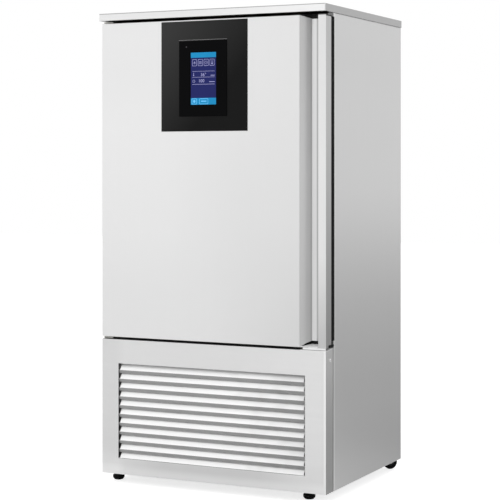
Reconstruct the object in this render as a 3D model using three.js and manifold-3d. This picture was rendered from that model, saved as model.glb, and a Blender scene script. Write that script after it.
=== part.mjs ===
// Upright blast chiller: insulated cabinet with one hinged door over a louvred machine compartment.
// Millimetres. X runs to the right seen from the front, Y to the back, Z up from the floor.
// While the pieces are made, Y = 0 is the front face of the door; the whole is centred at the end.
import * as THREE from 'three';
import { mergeVertices } from 'three/addons/utils/BufferGeometryUtils.js';
import Module from 'manifold-3d';

const wasm = await Module();
wasm.setup();

// ---------------------------------------------------------------- driving dimensions
// Overall
const BODY_WIDTH = 826;
const BODY_DEPTH = 676; // door front to back edge of the side panels
const OVERALL_HEIGHT = 1590;
const FLOOR_CLEARANCE = 34;
const SHEET = 1.5; // outer and inner steel sheet
const HEAVY_SHEET = 2; // base, posts and pockets
const FIT = 0.3; // gap between pieces that touch
const WALL = 60; // insulated wall of the chamber

// Top
const CAP_HEIGHT = 24;
const CAP_FRONT = 16; // how far the top stands out in front of the door
const CAP_SIDE = 4;
const CAP_RETURN = 15;
const CAP_CORNER = 5;

// Cabinet
const EDGE_FOLD = 20; // folds along the edges of the side panels
const FRAME_DEPTH = 12; // thermal break round the chamber mouth
const CHAMBER_CORNER = 18;
const CHAMBER_BASE_GAP = 4; // underside of the insulation over the lower panel

// Door
const DOOR_THICKNESS = 45;
const SEAL_GAP = 17; // door back to cabinet front
const DOOR_TOP_GAP = 9;
const DOOR_BOTTOM_GAP = 8.5;
const DOOR_FOLD = 43; // depth of the outer skin's folds
const PLUG_MARGIN = 78; // door edge to the raised middle of its inner face
const PLUG_RISE = 12;

// Recessed grip along the free edge of the door
const GRIP_FACE = 27; // width of the rim strip
const GRIP_MOUTH = 64; // opening beside it
const GRIP_DEPTH = 30;
const GRIP_SLOPE = 30; // how far the slanted wall runs sideways
const GRIP_SHEET = 2;
const GRIP_HEM = 5;
const GRIP_END_LOW = 25; // the recess floor stops this far from the door's bottom
const GRIP_END_HIGH = 11; // and this far from its top

// Seal
const SEAL_EDGE = 2;
const SEAL_BASE_WIDTH = 50;
const SEAL_BASE_DEPTH = 10;
const SEAL_BULB_INSET = 23;
const SEAL_BULB_WIDTH = 23;
const SEAL_CORNER = 14;

// Control panel in the door
const FASCIA_WIDTH = 319;
const FASCIA_HEIGHT = 363;
const FASCIA_CENTRE_X = -23;
const FASCIA_FROM_TOP = 4;
const FASCIA_PROUD = 0.8;
const FASCIA_THICKNESS = 3;
const FASCIA_FLANGE = 1.6;
const MODULE_WIDTH = 177;
const MODULE_HEIGHT = 248;
const MODULE_CENTRE_X = -26;
const MODULE_FROM_TOP = 66; // fascia's top edge to the display module's
const MODULE_PROUD = 2.4;
const MODULE_DEPTH = 7;
const SCREEN_WIDTH = 98;
const SCREEN_HEIGHT = 176;
const SCREEN_FROM_TOP = 36; // module's top edge to the screen's
const SCREEN_LEDGE = 4;
const SCREEN_THICKNESS = 3;
const BOARD_MARGIN = 10;
const BOARD_THICKNESS = 1.6;
const BOARD_POCKET = 30;

// Hinge
const HINGE_FROM_EDGE = 14; // hinge line to the door's left edge
const HINGE_FROM_FRONT = 22; // hinge line to the door's front face
const PIN_RADIUS = 6;
const PIN_LENGTH = 20;
const BUSH_WALL = 4;
const BUSH_LENGTH = 24;
const BUSH_FLANGE = 1.5;
const BUSH_FLANGE_RADIUS = 13;
const HINGE_PLATE = 4;
const HINGE_WIDTH = 36;
const HINGE_LEG = 16;

// Lower front panel and its louvres
const PANEL_HEIGHT = 455;
const PANEL_DEPTH = 58;
const SILL_RISE = 5; // the panel's top fold climbs this far to its back edge
const LOUVRE_WIDTH = 689;
const LOUVRE_CENTRE_X = -4.5;
const LOUVRE_BOTTOM = 54; // panel's lower edge to the louvre opening
const LOUVRE_HEIGHT = 320;
const LOUVRE_COUNT = 11;
const LOUVRE_LAP = 1; // how much of the lowest louvre's lip shows, and of the gap over the highest
const LOUVRE_LIP = 11;
const LOUVRE_LIP_LEAN = 5;
const LOUVRE_RISE = 21;
const LOUVRE_REACH = 14;
const LOUVRE_CROWN = 1.5;
const LOUVRE_END_TRIM = 5; // the faces stop this far short of their lips at each end
const LOUVRE_SHEET = 1.5;
const LOUVRE_BAR = 16;
const SCREW_RADIUS = 2.5;
const SCREW_HEAD = 5;
const SCREW_HEAD_HEIGHT = 1.6;
const SCREW_LENGTH = 10;
const SCREW_FROM_TOP = 32;
const SCREW_FROM_FRONT = 33;

// Front feet
const FOOT_LEFT_INSET = 20; // body side to the foot's middle
const FOOT_RIGHT_INSET = 91;
const FOOT_FROM_FRONT = 76;
const FOOT_RADIUS = 20;
const FOOT_SOLE_RADIUS = 14.5;
const FOOT_HEIGHT = 20;
const STEM_RADIUS = 5;
const STEM_TOP = 54;
const BOSS_RADIUS = 12;
const BOSS_HEIGHT = 20;

// Rear castors
const WHEEL_RADIUS = 25;
const WHEEL_WIDTH = 18;
const WHEEL_ROUND = 5;
const CASTOR_TRAIL = 14;
const CASTOR_HEADING = 37; // degrees: where the wheel trails, out from straight back's side line
const CASTOR_SWEEP_GAP = 1;
const FORK_SHEET = 2.5;
const FORK_GAP = 1.5; // wheel face to fork leg
const FORK_TOP = 62;
const FORK_CROWN_RADIUS = 18;
const FORK_CROWN = 4;
const FORK_EYE = 7;
const AXLE_RADIUS = 3;
const AXLE_HEAD = 5;
const AXLE_HEAD_HEIGHT = 2.5;
const KING_PIN_RADIUS = 5;
const KING_PIN_HEAD = 8;
const CASTOR_PLATE = 3;
const CASTOR_PLATE_SIZE = 64;

// Tray racks
const TRAY_LEVELS = 10;
const FIRST_TRAY = 36; // chamber floor to the first runner
const LAST_TRAY = 121; // last runner to the chamber ceiling
const TRAY_SIDE_GAP = 49.4; // tray edge to the liner
const RUNNER_OVERLAP = 15;
const RUNNER_PLAY = 4;
const RUNNER_LIP = 5;
const RUNNER_FRONT = 22; // chamber mouth to the runners
const RUNNER_BACK_GAP = 25; // runners to the fan cover
const UPRIGHT_WIDTH = 11;
const UPRIGHT_DEPTH = 18;
const UPRIGHT_INSET = 34;
const RACK_HEAD = 40; // last runner to the uprights' tops

// Evaporator, its fans and their cover
const FAN_SPACE = 49.5; // fan cover's face to the coil
const SHROUD_FLOOR_GAP = 40;
const SHROUD_CEILING_GAP = 32;
const FAN_RADIUS = 142;
const FAN_HOLE_RADIUS = 151;
const FAN_SPACING = 400;
const FAN_BLADES = 5;
const FAN_HUB_RADIUS = 38;
const FAN_HUB_DEPTH = 16;
const FAN_HUB_SIDES = 20;
const FAN_CHORD = 78;
const BLADE_SHEET = 2.5;
const BLADE_ANGLE = 25; // degrees
const FAN_MOTOR_RADIUS = 44;
const FAN_MOTOR_DEPTH = 25;
const FAN_SHAFT_RADIUS = 5;
const GUARD_RADIUS = 160;
const GUARD_RING = 7;
const GUARD_DEPTH = 11;
const GUARD_WIRE = 3;
const GUARD_RINGS = 2;
const GUARD_SPOKES = 3;
const GUARD_SIDES = 20;
const COIL_DEPTH = 56;
const COIL_SIDE_GAP = 59.4;
const COIL_CEILING_GAP = 119;
const COIL_FLOOR_GAP = 90;
const COIL_PLATE = 2;
const COIL_BENDS = 4;
const COIL_TUBE_RADIUS = 5;
const COIL_BEND_RADIUS = 14;

// Machine compartment
const CONDENSER_DEPTH = 46;
const CONDENSER_HEIGHT = 370;
const CONDENSER_SIDE_GAP = 73; // body side to the condenser
const SERVICE_WIDTH = 333; // beside the condenser, for the rest of the machinery
const CONDENSER_FRONT = 88;
const CONDENSER_FAN_RADIUS = 135;
const CONDENSER_FAN_HOLE = 143;
const CONDENSER_SHROUD_DEPTH = 34;
const CONDENSER_PORT_DROP = 30; // condenser's top to its inlet
const CONDENSER_PORT_RISE = 45; // and floor to its outlet
const COMPRESSOR_FROM_SIDE = 233;
const COMPRESSOR_Y = 440;
const COMPRESSOR_RADIUS = 88;
const COMPRESSOR_SHELL = 205;
const COMPRESSOR_DOME = 42;
const COMPRESSOR_FOOT = 230;
const COMPRESSOR_FOOT_WIDTH = 150;
const COMPRESSOR_PORT_OFFSET = 35;
const GROMMET_RADIUS = 13;
const GROMMET_HEIGHT = 20;
const PIPE_RADIUS = 5;
const SUCTION_RADIUS = 7;
const PIPE_BEND = 18;
const STUB_LENGTH = 14;
const RECEIVER_FROM_SIDE = 158;
const RECEIVER_Y = 300;
const RECEIVER_RADIUS = 45;
const RECEIVER_HEIGHT = 215;
const DRIER_RADIUS = 19;
const DRIER_LENGTH = 110;
const POWER_BOX_WIDTH = 190;
const POWER_BOX_DEPTH = 100;
const POWER_BOX_HEIGHT = 260;
const POWER_BOX_LEG = 110;
const DRAIN_FROM_SIDE = 163;
const DRAIN_Y = 440;
const DRAIN_RADIUS = 12;
const DRAIN_WALL = 2;
const DRAIN_FLANGE = 20;
const PAN_WIDTH = 240;
const PAN_LENGTH = 180;
const PAN_HEIGHT = 30;
const GLAND_FROM_SIDE = 123;
const GLAND_ABOVE_BASE = 90;
const GLAND_RADIUS = 14;
const GLAND_REACH = 18; // out past the back edge
const VENT_ROWS = 8;
const VENT_COLUMNS = 2;
const VENT_WIDTH = 240;
const VENT_HEIGHT = 8;
const VENT_PITCH = 26;

// ---------------------------------------------------------------- places worked out from them
const HALF = BODY_WIDTH / 2;
const SHELL_HALF = HALF - SHEET - FIT; // inside of the side panels
const CABINET_TOP = OVERALL_HEIGHT - CAP_HEIGHT;
const SHELL_TOP = CABINET_TOP - FIT;
const CABINET_FRONT = DOOR_THICKNESS + SEAL_GAP;
const PANEL_TOP = FLOOR_CLEARANCE + PANEL_HEIGHT;
const DOOR_BOTTOM = PANEL_TOP + DOOR_BOTTOM_GAP;
const DOOR_TOP = CABINET_TOP - DOOR_TOP_GAP;
const BACK_PANEL_BACK = BODY_DEPTH - SHEET - FIT;
const BACK_PANEL_FRONT = BACK_PANEL_BACK - SHEET;
const SHELL_BACK = BACK_PANEL_FRONT - FIT;

const FRAME_FRONT = CABINET_FRONT + SHEET + FIT;
const FRAME_BACK = FRAME_FRONT + FRAME_DEPTH;
const CHAMBER_BASE = PANEL_TOP + CHAMBER_BASE_GAP;
const CAVITY_HALF = SHELL_HALF - WALL;
const CAVITY_BOTTOM = CHAMBER_BASE + WALL;
const CAVITY_TOP = SHELL_TOP - WALL;
const CAVITY_BACK = SHELL_BACK - WALL;
const LINER_HALF = CAVITY_HALF - FIT - SHEET; // inside of the liner
const LINER_FLOOR = CAVITY_BOTTOM + FIT + SHEET;
const LINER_CEILING = CAVITY_TOP - FIT - SHEET;
const LINER_BACK = CAVITY_BACK - FIT - SHEET;

const BASE_BOTTOM = FLOOR_CLEARANCE + SHEET + FIT;
const BASE_TOP = BASE_BOTTOM + HEAVY_SHEET;
const DECK = BASE_TOP + FIT; // where things stand in the machine compartment
const FOOT_LEFT_X = FOOT_LEFT_INSET - HALF;
const FOOT_RIGHT_X = HALF - FOOT_RIGHT_INSET;

const HINGE_X = -HALF + HINGE_FROM_EDGE;
const HINGE_Y = HINGE_FROM_FRONT;
const BUSH_BORE = PIN_RADIUS + FIT;
const BUSH_RADIUS = BUSH_BORE + BUSH_WALL;

const CORE_INSET = GRIP_END_LOW + GRIP_SHEET + FIT;
const GRIP_RIM = HALF - GRIP_FACE; // inner edge of the rim strip
const GRIP_START = GRIP_RIM - GRIP_MOUTH; // where the slanted wall leaves the door's face
const GRIP_FLOOR_START = GRIP_START + GRIP_SLOPE;
const DOOR_INNER_HALF = HALF - SHEET - FIT;
const INNER_FRONT = DOOR_FOLD + FIT;
const INNER_BACK = INNER_FRONT + SHEET;

const FASCIA_LEFT = FASCIA_CENTRE_X - FASCIA_WIDTH / 2;
const FASCIA_RIGHT = FASCIA_CENTRE_X + FASCIA_WIDTH / 2;
const FASCIA_TOP = DOOR_TOP - FASCIA_FROM_TOP;
const FASCIA_BOTTOM = FASCIA_TOP - FASCIA_HEIGHT;
const MODULE_LEFT = MODULE_CENTRE_X - MODULE_WIDTH / 2;
const MODULE_RIGHT = MODULE_CENTRE_X + MODULE_WIDTH / 2;
const MODULE_TOP = FASCIA_TOP - MODULE_FROM_TOP;
const MODULE_BOTTOM = MODULE_TOP - MODULE_HEIGHT;
const SCREEN_LEFT = MODULE_CENTRE_X - SCREEN_WIDTH / 2;
const SCREEN_RIGHT = MODULE_CENTRE_X + SCREEN_WIDTH / 2;
const SCREEN_TOP = MODULE_TOP - SCREEN_FROM_TOP;
const SCREEN_BOTTOM = SCREEN_TOP - SCREEN_HEIGHT;

const LOUVRE_LEFT = LOUVRE_CENTRE_X - LOUVRE_WIDTH / 2;
const LOUVRE_RIGHT = LOUVRE_CENTRE_X + LOUVRE_WIDTH / 2;
const LOUVRE_BASE = FLOOR_CLEARANCE + LOUVRE_BOTTOM;
const LOUVRE_TOP = LOUVRE_BASE + LOUVRE_HEIGHT;
const LOUVRE_PITCH = (LOUVRE_HEIGHT - LOUVRE_RISE - 2 * LOUVRE_LAP) / (LOUVRE_COUNT - 1);
const LOUVRE_FRONT = SHEET + FIT;
const LOUVRE_BACK = LOUVRE_FRONT + LOUVRE_REACH + LOUVRE_SHEET;

const SWEEP = Math.hypot(CASTOR_TRAIL + WHEEL_RADIUS, WHEEL_WIDTH / 2) + CASTOR_SWEEP_GAP;
const CASTOR_X = SHELL_HALF - SWEEP;
const FOLD_REACH = Math.sqrt(SWEEP ** 2 - (CASTOR_X - (HALF - EDGE_FOLD)) ** 2);
const CASTOR_Y = BODY_DEPTH - SHEET - FOLD_REACH;
const POCKET_LEFT = CASTOR_X - SWEEP - HEAVY_SHEET;
const POCKET_FRONT = CASTOR_Y - SWEEP - HEAVY_SHEET;
const CASTOR_PLATE_BOTTOM = FORK_TOP + FIT;
const POCKET_CEILING = CASTOR_PLATE_BOTTOM + CASTOR_PLATE + FIT;

const COIL_BACK = LINER_BACK - FIT;
const COIL_FRONT = COIL_BACK - COIL_DEPTH;
const COIL_WIDTH = 2 * (LINER_HALF - COIL_SIDE_GAP);
const COIL_BOTTOM = LINER_FLOOR + COIL_FLOOR_GAP;
const COIL_TOP = LINER_CEILING - COIL_CEILING_GAP;
const SHROUD_FRONT = COIL_FRONT - FAN_SPACE;
const FAN_MIDDLE = (LINER_FLOOR + LINER_CEILING) / 2;
const TRAY_WIDTH = 2 * (LINER_HALF - TRAY_SIDE_GAP);
const TRAY_PITCH = (LINER_CEILING - LAST_TRAY - LINER_FLOOR - FIRST_TRAY) / (TRAY_LEVELS - 1);
const RUNNER_LEVELS = Array.from({ length: TRAY_LEVELS }, (_, i) => LINER_FLOOR + FIRST_TRAY + i * TRAY_PITCH);

const CONDENSER_LEFT = CONDENSER_SIDE_GAP - HALF;
const CONDENSER_RIGHT = HALF - SERVICE_WIDTH;
const CONDENSER_MIDDLE = (CONDENSER_LEFT + CONDENSER_RIGHT) / 2;
const CONDENSER_BACK = CONDENSER_FRONT + CONDENSER_DEPTH;
const CONDENSER_TOP = DECK + CONDENSER_HEIGHT;
const CONDENSER_AXIS_Z = DECK + CONDENSER_HEIGHT / 2;
const CONDENSER_STUB_TOP = CONDENSER_TOP - CONDENSER_PORT_DROP;
const CONDENSER_STUB_LOW = DECK + CONDENSER_PORT_RISE;
const CONDENSER_STUB_Y = CONDENSER_FRONT + CONDENSER_DEPTH / 2;
const COMPRESSOR_X = HALF - COMPRESSOR_FROM_SIDE;
const COMPRESSOR_BASE = DECK + GROMMET_HEIGHT;
const COMPRESSOR_TOP = COMPRESSOR_BASE + COMPRESSOR_SHELL + COMPRESSOR_DOME;
const SUCTION_PORT = [COMPRESSOR_X + COMPRESSOR_PORT_OFFSET, COMPRESSOR_Y + COMPRESSOR_PORT_OFFSET];
const DISCHARGE_PORT = [COMPRESSOR_X - COMPRESSOR_PORT_OFFSET, COMPRESSOR_Y - COMPRESSOR_PORT_OFFSET];
const PORT_Z = COMPRESSOR_TOP + STUB_LENGTH;
const RECEIVER_X = HALF - RECEIVER_FROM_SIDE;
const RECEIVER_TOP = DECK + RECEIVER_HEIGHT;
const LIQUID_PORT = [RECEIVER_X + 15, RECEIVER_Y];
const COIL_PORT_Y = (COIL_FRONT + COIL_BACK) / 2;
const SUCTION_HOLE = [SUCTION_PORT[0], COIL_PORT_Y];
const LIQUID_HOLE = [LIQUID_PORT[0], COIL_PORT_Y];
const DRIER_BOTTOM = RECEIVER_TOP + STUB_LENGTH + FIT;
const DRIER_TOP = DRIER_BOTTOM + DRIER_LENGTH;
const DRAIN_X = DRAIN_FROM_SIDE - HALF;
const GLAND_X = HALF - GLAND_FROM_SIDE;
const GLAND_Z = BASE_TOP + GLAND_ABOVE_BASE;

// ---------------------------------------------------------------- finishes
const FINISHES = {
  brushed_steel: { color: 0xc8cacb, roughness: 0.34, metalness: 0.9 },
  liner_steel: { color: 0xb9bcbe, roughness: 0.42, metalness: 0.9 },
  galvanised: { color: 0x9da1a4, roughness: 0.55, metalness: 0.8 },
  aluminium: { color: 0xb4b8bb, roughness: 0.45, metalness: 0.85 },
  copper: { color: 0xb46a3c, roughness: 0.35, metalness: 0.95 },
  black_paint: { color: 0x17181a, roughness: 0.45, metalness: 0.1 },
  black_plastic: { color: 0x141416, roughness: 0.5, metalness: 0 },
  gloss_black: { color: 0x08080a, roughness: 0.12, metalness: 0 },
  rubber: { color: 0x101011, roughness: 0.8, metalness: 0 },
  screen_glass: { color: 0x252a60, roughness: 0.1, metalness: 0 },
  circuit_board: { color: 0x1f5a34, roughness: 0.6, metalness: 0 },
  foam: { color: 0xd9c98c, roughness: 0.95, metalness: 0 },
};

// ---------------------------------------------------------------- shape helpers
const CURVE_STEPS = 2; // half the straight pieces in a rounded corner
const PIPE_STEPS = 4; // half the sides of a pipe
const ELBOW_STEPS = 3;

function solidOf(geometry) {
  const bare = geometry.index ? geometry.toNonIndexed() : geometry.clone();
  bare.deleteAttribute('normal');
  bare.deleteAttribute('uv');
  const merged = mergeVertices(bare, 1e-4);
  return new wasm.Manifold(new wasm.Mesh({
    numProp: 3,
    vertProperties: merged.attributes.position.array,
    triVerts: new Uint32Array(merged.index.array),
  }));
}

function geometryOf(solid) {
  const mesh = solid.getMesh();
  const geometry = new THREE.BufferGeometry();
  geometry.setAttribute('position', new THREE.BufferAttribute(mesh.vertProperties, 3));
  geometry.setIndex(new THREE.BufferAttribute(mesh.triVerts, 1));
  const flat = geometry.toNonIndexed();
  flat.computeVertexNormals();
  return flat;
}

const join = (...solids) => solids.reduce((whole, solid) => whole.add(solid));
const cut = (solid, ...tools) => tools.reduce((rest, tool) => rest.subtract(tool), solid);

// A box between two corners, given as pairs of X, Y and Z values in either order.
function block(xs, ys, zs) {
  const size = [xs, ys, zs].map(([a, b]) => Math.abs(b - a));
  const middle = [xs, ys, zs].map(([a, b]) => (a + b) / 2);
  return solidOf(new THREE.BoxGeometry(...size).translate(...middle));
}

// A round bar or cone along an axis, from one value of that axis to another.
function rod(axis, centre, from, to, radius, sides = 16, endRadius = radius) {
  const length = Math.abs(to - from);
  const geometry = new THREE.CylinderGeometry(endRadius, radius, length, sides);
  const middle = (from + to) / 2;
  if (to < from) geometry.rotateX(Math.PI);
  if (axis === 'x') geometry.rotateZ(-Math.PI / 2).translate(middle, centre[0], centre[1]);
  if (axis === 'y') geometry.translate(centre[0], middle, centre[1]);
  if (axis === 'z') geometry.rotateX(Math.PI / 2).translate(centre[0], centre[1], middle);
  return solidOf(geometry);
}

const outline = (points) => new THREE.Shape(points.map(([a, b]) => new THREE.Vector2(a, b)));

function roundedOutline([a0, a1], [b0, b1], radius) {
  const quarter = Math.PI / 2;
  const shape = new THREE.Shape();
  shape.absarc(a1 - radius, b1 - radius, radius, 0, quarter);
  shape.absarc(a0 + radius, b1 - radius, radius, quarter, 2 * quarter);
  shape.absarc(a0 + radius, b0 + radius, radius, 2 * quarter, 3 * quarter);
  shape.absarc(a1 - radius, b0 + radius, radius, 3 * quarter, 4 * quarter);
  return shape;
}

// The closed outline of a folded sheet that runs along a path, thickened to the left of it.
function sheetOutline(path, thickness) {
  const points = path.map(([a, b]) => new THREE.Vector2(a, b));
  const normals = points.slice(1).map((point, i) => {
    const along = point.clone().sub(points[i]).normalize();
    return new THREE.Vector2(-along.y, along.x);
  });
  const inner = points.map((point, i) => {
    const before = normals[Math.max(i - 1, 0)];
    const after = normals[Math.min(i, normals.length - 1)];
    const mitre = before.clone().add(after).normalize();
    return point.clone().addScaledVector(mitre, thickness / mitre.dot(after));
  });
  return new THREE.Shape([...points, ...inner.reverse()]);
}

const extruded = (shape, length) => new THREE.ExtrudeGeometry(shape, {
  depth: length,
  bevelEnabled: false,
  curveSegments: CURVE_STEPS,
});

// An XY outline drawn up along Z, an XZ outline along Y, and a YZ outline along X.
const alongZ = (shape, [z0, z1]) => solidOf(extruded(shape, z1 - z0).translate(0, 0, z0));
const alongY = (shape, [y0, y1]) => solidOf(
  extruded(shape, y1 - y0).rotateX(Math.PI / 2).translate(0, y1, 0),
);
const YZ_TO_X = new THREE.Matrix4().makeBasis(
  new THREE.Vector3(0, 1, 0),
  new THREE.Vector3(0, 0, 1),
  new THREE.Vector3(1, 0, 0),
);
const alongX = (shape, [x0, x1]) => solidOf(
  extruded(shape, x1 - x0).applyMatrix4(YZ_TO_X).translate(x0, 0, 0),
);

// A body of revolution about a vertical line, from [radius, height] points on its outline.
function turned([x, y], profile, sides) {
  const points = profile.map(([radius, height]) => new THREE.Vector2(radius, height));
  return solidOf(new THREE.LatheGeometry(points, sides).rotateX(Math.PI / 2).translate(x, y, 0));
}

// A run of pipe: straight lengths between the points, with a rounded elbow at each inner one.
class PipeRun extends THREE.Curve {
  constructor(points, bend) {
    super();
    const corners = points.map((point) => new THREE.Vector3(...point));
    const first = corners[1].clone().sub(corners[0]).normalize();
    this.stations = [{ place: corners[0], heading: first }];
    corners.slice(1, -1).forEach((corner, i) => {
      const before = corner.clone().sub(corners[i]).normalize();
      const after = corners[i + 2].clone().sub(corner).normalize();
      this.addElbow(corner, before, after, bend);
    });
    const last = corners.at(-1);
    this.stations.push({ place: last, heading: last.clone().sub(corners.at(-2)).normalize() });
  }

  addElbow(corner, before, after, bend) {
    const steps = ELBOW_STEPS;
    const centre = corner.clone().addScaledVector(before, -bend).addScaledVector(after, bend);
    for (let i = 0; i <= steps; i += 1) {
      const turn = (i / steps) * (Math.PI / 2);
      const place = centre.clone()
        .addScaledVector(after, -bend * Math.cos(turn))
        .addScaledVector(before, bend * Math.sin(turn));
      const heading = before.clone().multiplyScalar(Math.cos(turn)).addScaledVector(after, Math.sin(turn));
      this.stations.push({ place, heading });
    }
  }

  station(share) {
    return this.stations[Math.round(share * (this.stations.length - 1))];
  }

  getPoint(share) {
    return this.station(share).place.clone();
  }

  getPointAt(share) {
    return this.getPoint(share);
  }

  getTangentAt(share) {
    return this.station(share).heading.clone();
  }
}

function pipe(points, radius, bend = PIPE_BEND) {
  const run = new PipeRun(points, bend);
  const section = new THREE.Shape().absarc(0, 0, radius, 0, 2 * Math.PI);
  return solidOf(new THREE.ExtrudeGeometry(section, {
    extrudePath: run,
    steps: run.stations.length - 1,
    curveSegments: PIPE_STEPS,
  }));
}

// ---------------------------------------------------------------- the scene graph
const assembly = new THREE.Group();

function place(name, finish, solid, parent = assembly) {
  const mesh = new THREE.Mesh(geometryOf(solid), new THREE.MeshStandardMaterial(FINISHES[finish]));
  mesh.name = name;
  parent.add(mesh);
  return mesh;
}

const SIDES = [['left', -1], ['right', 1]];

// ---------------------------------------------------------------- cabinet shell
function topCap() {
  const reach = HALF + CAP_SIDE;
  const shape = roundedOutline([-reach, reach], [-CAP_FRONT, BODY_DEPTH], CAP_CORNER);
  const inside = reach - SHEET;
  const hollow = block(
    [-inside, inside],
    [SHEET - CAP_FRONT, BODY_DEPTH - SHEET],
    [CABINET_TOP + SHEET, OVERALL_HEIGHT - SHEET],
  );
  const mouth = block(
    [CAP_RETURN - reach, reach - CAP_RETURN],
    [CAP_RETURN - CAP_FRONT, BODY_DEPTH - CAP_RETURN],
    [CABINET_TOP - SHEET, CABINET_TOP + 2 * SHEET],
  );
  place('top_cap', 'brushed_steel', cut(alongZ(shape, [CABINET_TOP, OVERALL_HEIGHT]), hollow, mouth));
}

function sidePanels() {
  for (const [name, side] of SIDES) {
    const fold = HALF - EDGE_FOLD;
    const path = [[fold, CABINET_FRONT], [HALF, CABINET_FRONT], [HALF, BODY_DEPTH], [fold, BODY_DEPTH]];
    const shape = sheetOutline(path, SHEET);
    const mirrored = outline(shape.getPoints().map((point) => [side * point.x, point.y]));
    place(`${name}_side_panel`, 'brushed_steel', alongZ(mirrored, [FLOOR_CLEARANCE, SHELL_TOP]));
  }
}

function backPanel() {
  const depth = [BACK_PANEL_FRONT, BACK_PANEL_BACK];
  const through = [BACK_PANEL_FRONT - 1, BACK_PANEL_BACK + 1];
  const vents = [];
  for (let column = 0; column < VENT_COLUMNS; column += 1) {
    const x = (column - (VENT_COLUMNS - 1) / 2) * (VENT_WIDTH + VENT_PITCH);
    for (let row = 0; row < VENT_ROWS; row += 1) {
      const z = PANEL_TOP - VENT_PITCH * (row + 2);
      vents.push(block([x - VENT_WIDTH / 2, x + VENT_WIDTH / 2], through, [z, z + VENT_HEIGHT]));
    }
  }
  const wheelBays = SIDES.map(([, side]) => block(
    [side * POCKET_LEFT, side * HALF],
    through,
    [FLOOR_CLEARANCE, POCKET_CEILING],
  ));
  const glandHole = rod('y', [GLAND_X, GLAND_Z], ...through, GLAND_RADIUS / 2 + FIT);
  const sheet = block([-SHELL_HALF, SHELL_HALF], depth, [BASE_BOTTOM, SHELL_TOP]);
  place('back_panel', 'galvanised', cut(sheet, ...vents, ...wheelBays, glandHole));
}

const cavityOutline = (inset) => roundedOutline(
  [inset - CAVITY_HALF, CAVITY_HALF - inset],
  [CAVITY_BOTTOM + inset, CAVITY_TOP - inset],
  CHAMBER_CORNER,
);

function floorHoles(clearance) {
  const span = [CHAMBER_BASE - 1, LINER_FLOOR + 1];
  return [
    rod('z', [DRAIN_X, DRAIN_Y], ...span, DRAIN_RADIUS + clearance),
    rod('z', SUCTION_HOLE, ...span, SUCTION_RADIUS + clearance),
    rod('z', LIQUID_HOLE, ...span, PIPE_RADIUS + clearance),
  ];
}

function chamber() {
  const shell = [-SHELL_HALF, SHELL_HALF];
  const height = [CHAMBER_BASE, SHELL_TOP];
  const frame = cut(
    block(shell, [FRAME_FRONT, FRAME_BACK], height),
    alongY(cavityOutline(0), [FRAME_FRONT - 1, FRAME_BACK + 1]),
  );
  place('door_frame', 'black_plastic', frame);
  const foam = cut(
    block(shell, [FRAME_BACK + FIT, SHELL_BACK], height),
    alongY(cavityOutline(0), [FRAME_BACK, CAVITY_BACK]),
    ...floorHoles(FIT),
  );
  place('chamber_foam', 'foam', foam);
  const liner = cut(
    alongY(cavityOutline(FIT), [FRAME_FRONT, CAVITY_BACK - FIT]),
    alongY(cavityOutline(FIT + SHEET), [FRAME_FRONT - 1, LINER_BACK]),
    ...floorHoles(FIT),
  );
  place('chamber_liner', 'liner_steel', liner);
}

// ---------------------------------------------------------------- base and lower front
function basePost(side) {
  const post = [BASE_BOTTOM, PANEL_TOP - SHEET - FIT];
  const back = [PANEL_DEPTH - HEAVY_SHEET, PANEL_DEPTH];
  return join(
    block([side * (SHELL_HALF - HEAVY_SHEET), side * SHELL_HALF], [EDGE_FOLD, PANEL_DEPTH], post),
    block([side * (SHELL_HALF - EDGE_FOLD), side * SHELL_HALF], back, post),
  );
}

function castorPocket(side) {
  const outer = block(
    [side * POCKET_LEFT, side * SHELL_HALF],
    [POCKET_FRONT, SHELL_BACK],
    [BASE_BOTTOM, POCKET_CEILING + HEAVY_SHEET],
  );
  const inner = block(
    [side * (POCKET_LEFT + HEAVY_SHEET), side * (SHELL_HALF + 1)],
    [POCKET_FRONT + HEAVY_SHEET, SHELL_BACK + 1],
    [BASE_BOTTOM - 1, POCKET_CEILING],
  );
  return { outer, inner };
}

function baseTray() {
  const screwHole = (side) => rod(
    'x',
    [SCREW_FROM_FRONT, PANEL_TOP - SCREW_FROM_TOP],
    side * (SHELL_HALF - EDGE_FOLD),
    side * HALF,
    SCREW_RADIUS + FIT,
    12,
  );
  const pockets = SIDES.map(([, side]) => castorPocket(side));
  const footAt = (x) => [x, FOOT_FROM_FRONT];
  const bosses = [FOOT_LEFT_X, FOOT_RIGHT_X].map(
    (x) => rod('z', footAt(x), BASE_BOTTOM, BASE_BOTTOM + BOSS_HEIGHT, BOSS_RADIUS, 12),
  );
  const stems = [FOOT_LEFT_X, FOOT_RIGHT_X].map(
    (x) => rod('z', footAt(x), FLOOR_CLEARANCE, STEM_TOP + BOSS_HEIGHT, STEM_RADIUS + FIT),
  );
  const sheet = block([-SHELL_HALF, SHELL_HALF], [EDGE_FOLD, SHELL_BACK], [BASE_BOTTOM, BASE_TOP]);
  const whole = join(
    sheet,
    ...SIDES.map(([, side]) => basePost(side)),
    ...bosses,
    ...pockets.map((pocket) => pocket.outer),
  );
  const foldNotches = SIDES.map(([, side]) => block(
    [side * (HALF - EDGE_FOLD - FIT), side * HALF],
    [CABINET_FRONT - FIT, CABINET_FRONT + SHEET + FIT],
    [FLOOR_CLEARANCE, PANEL_TOP],
  ));
  const holes = [
    ...pockets.map((pocket) => pocket.inner),
    ...stems,
    ...foldNotches,
    screwHole(-1),
    screwHole(1),
  ];
  place('base_tray', 'galvanised', cut(whole, ...holes));
}

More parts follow.
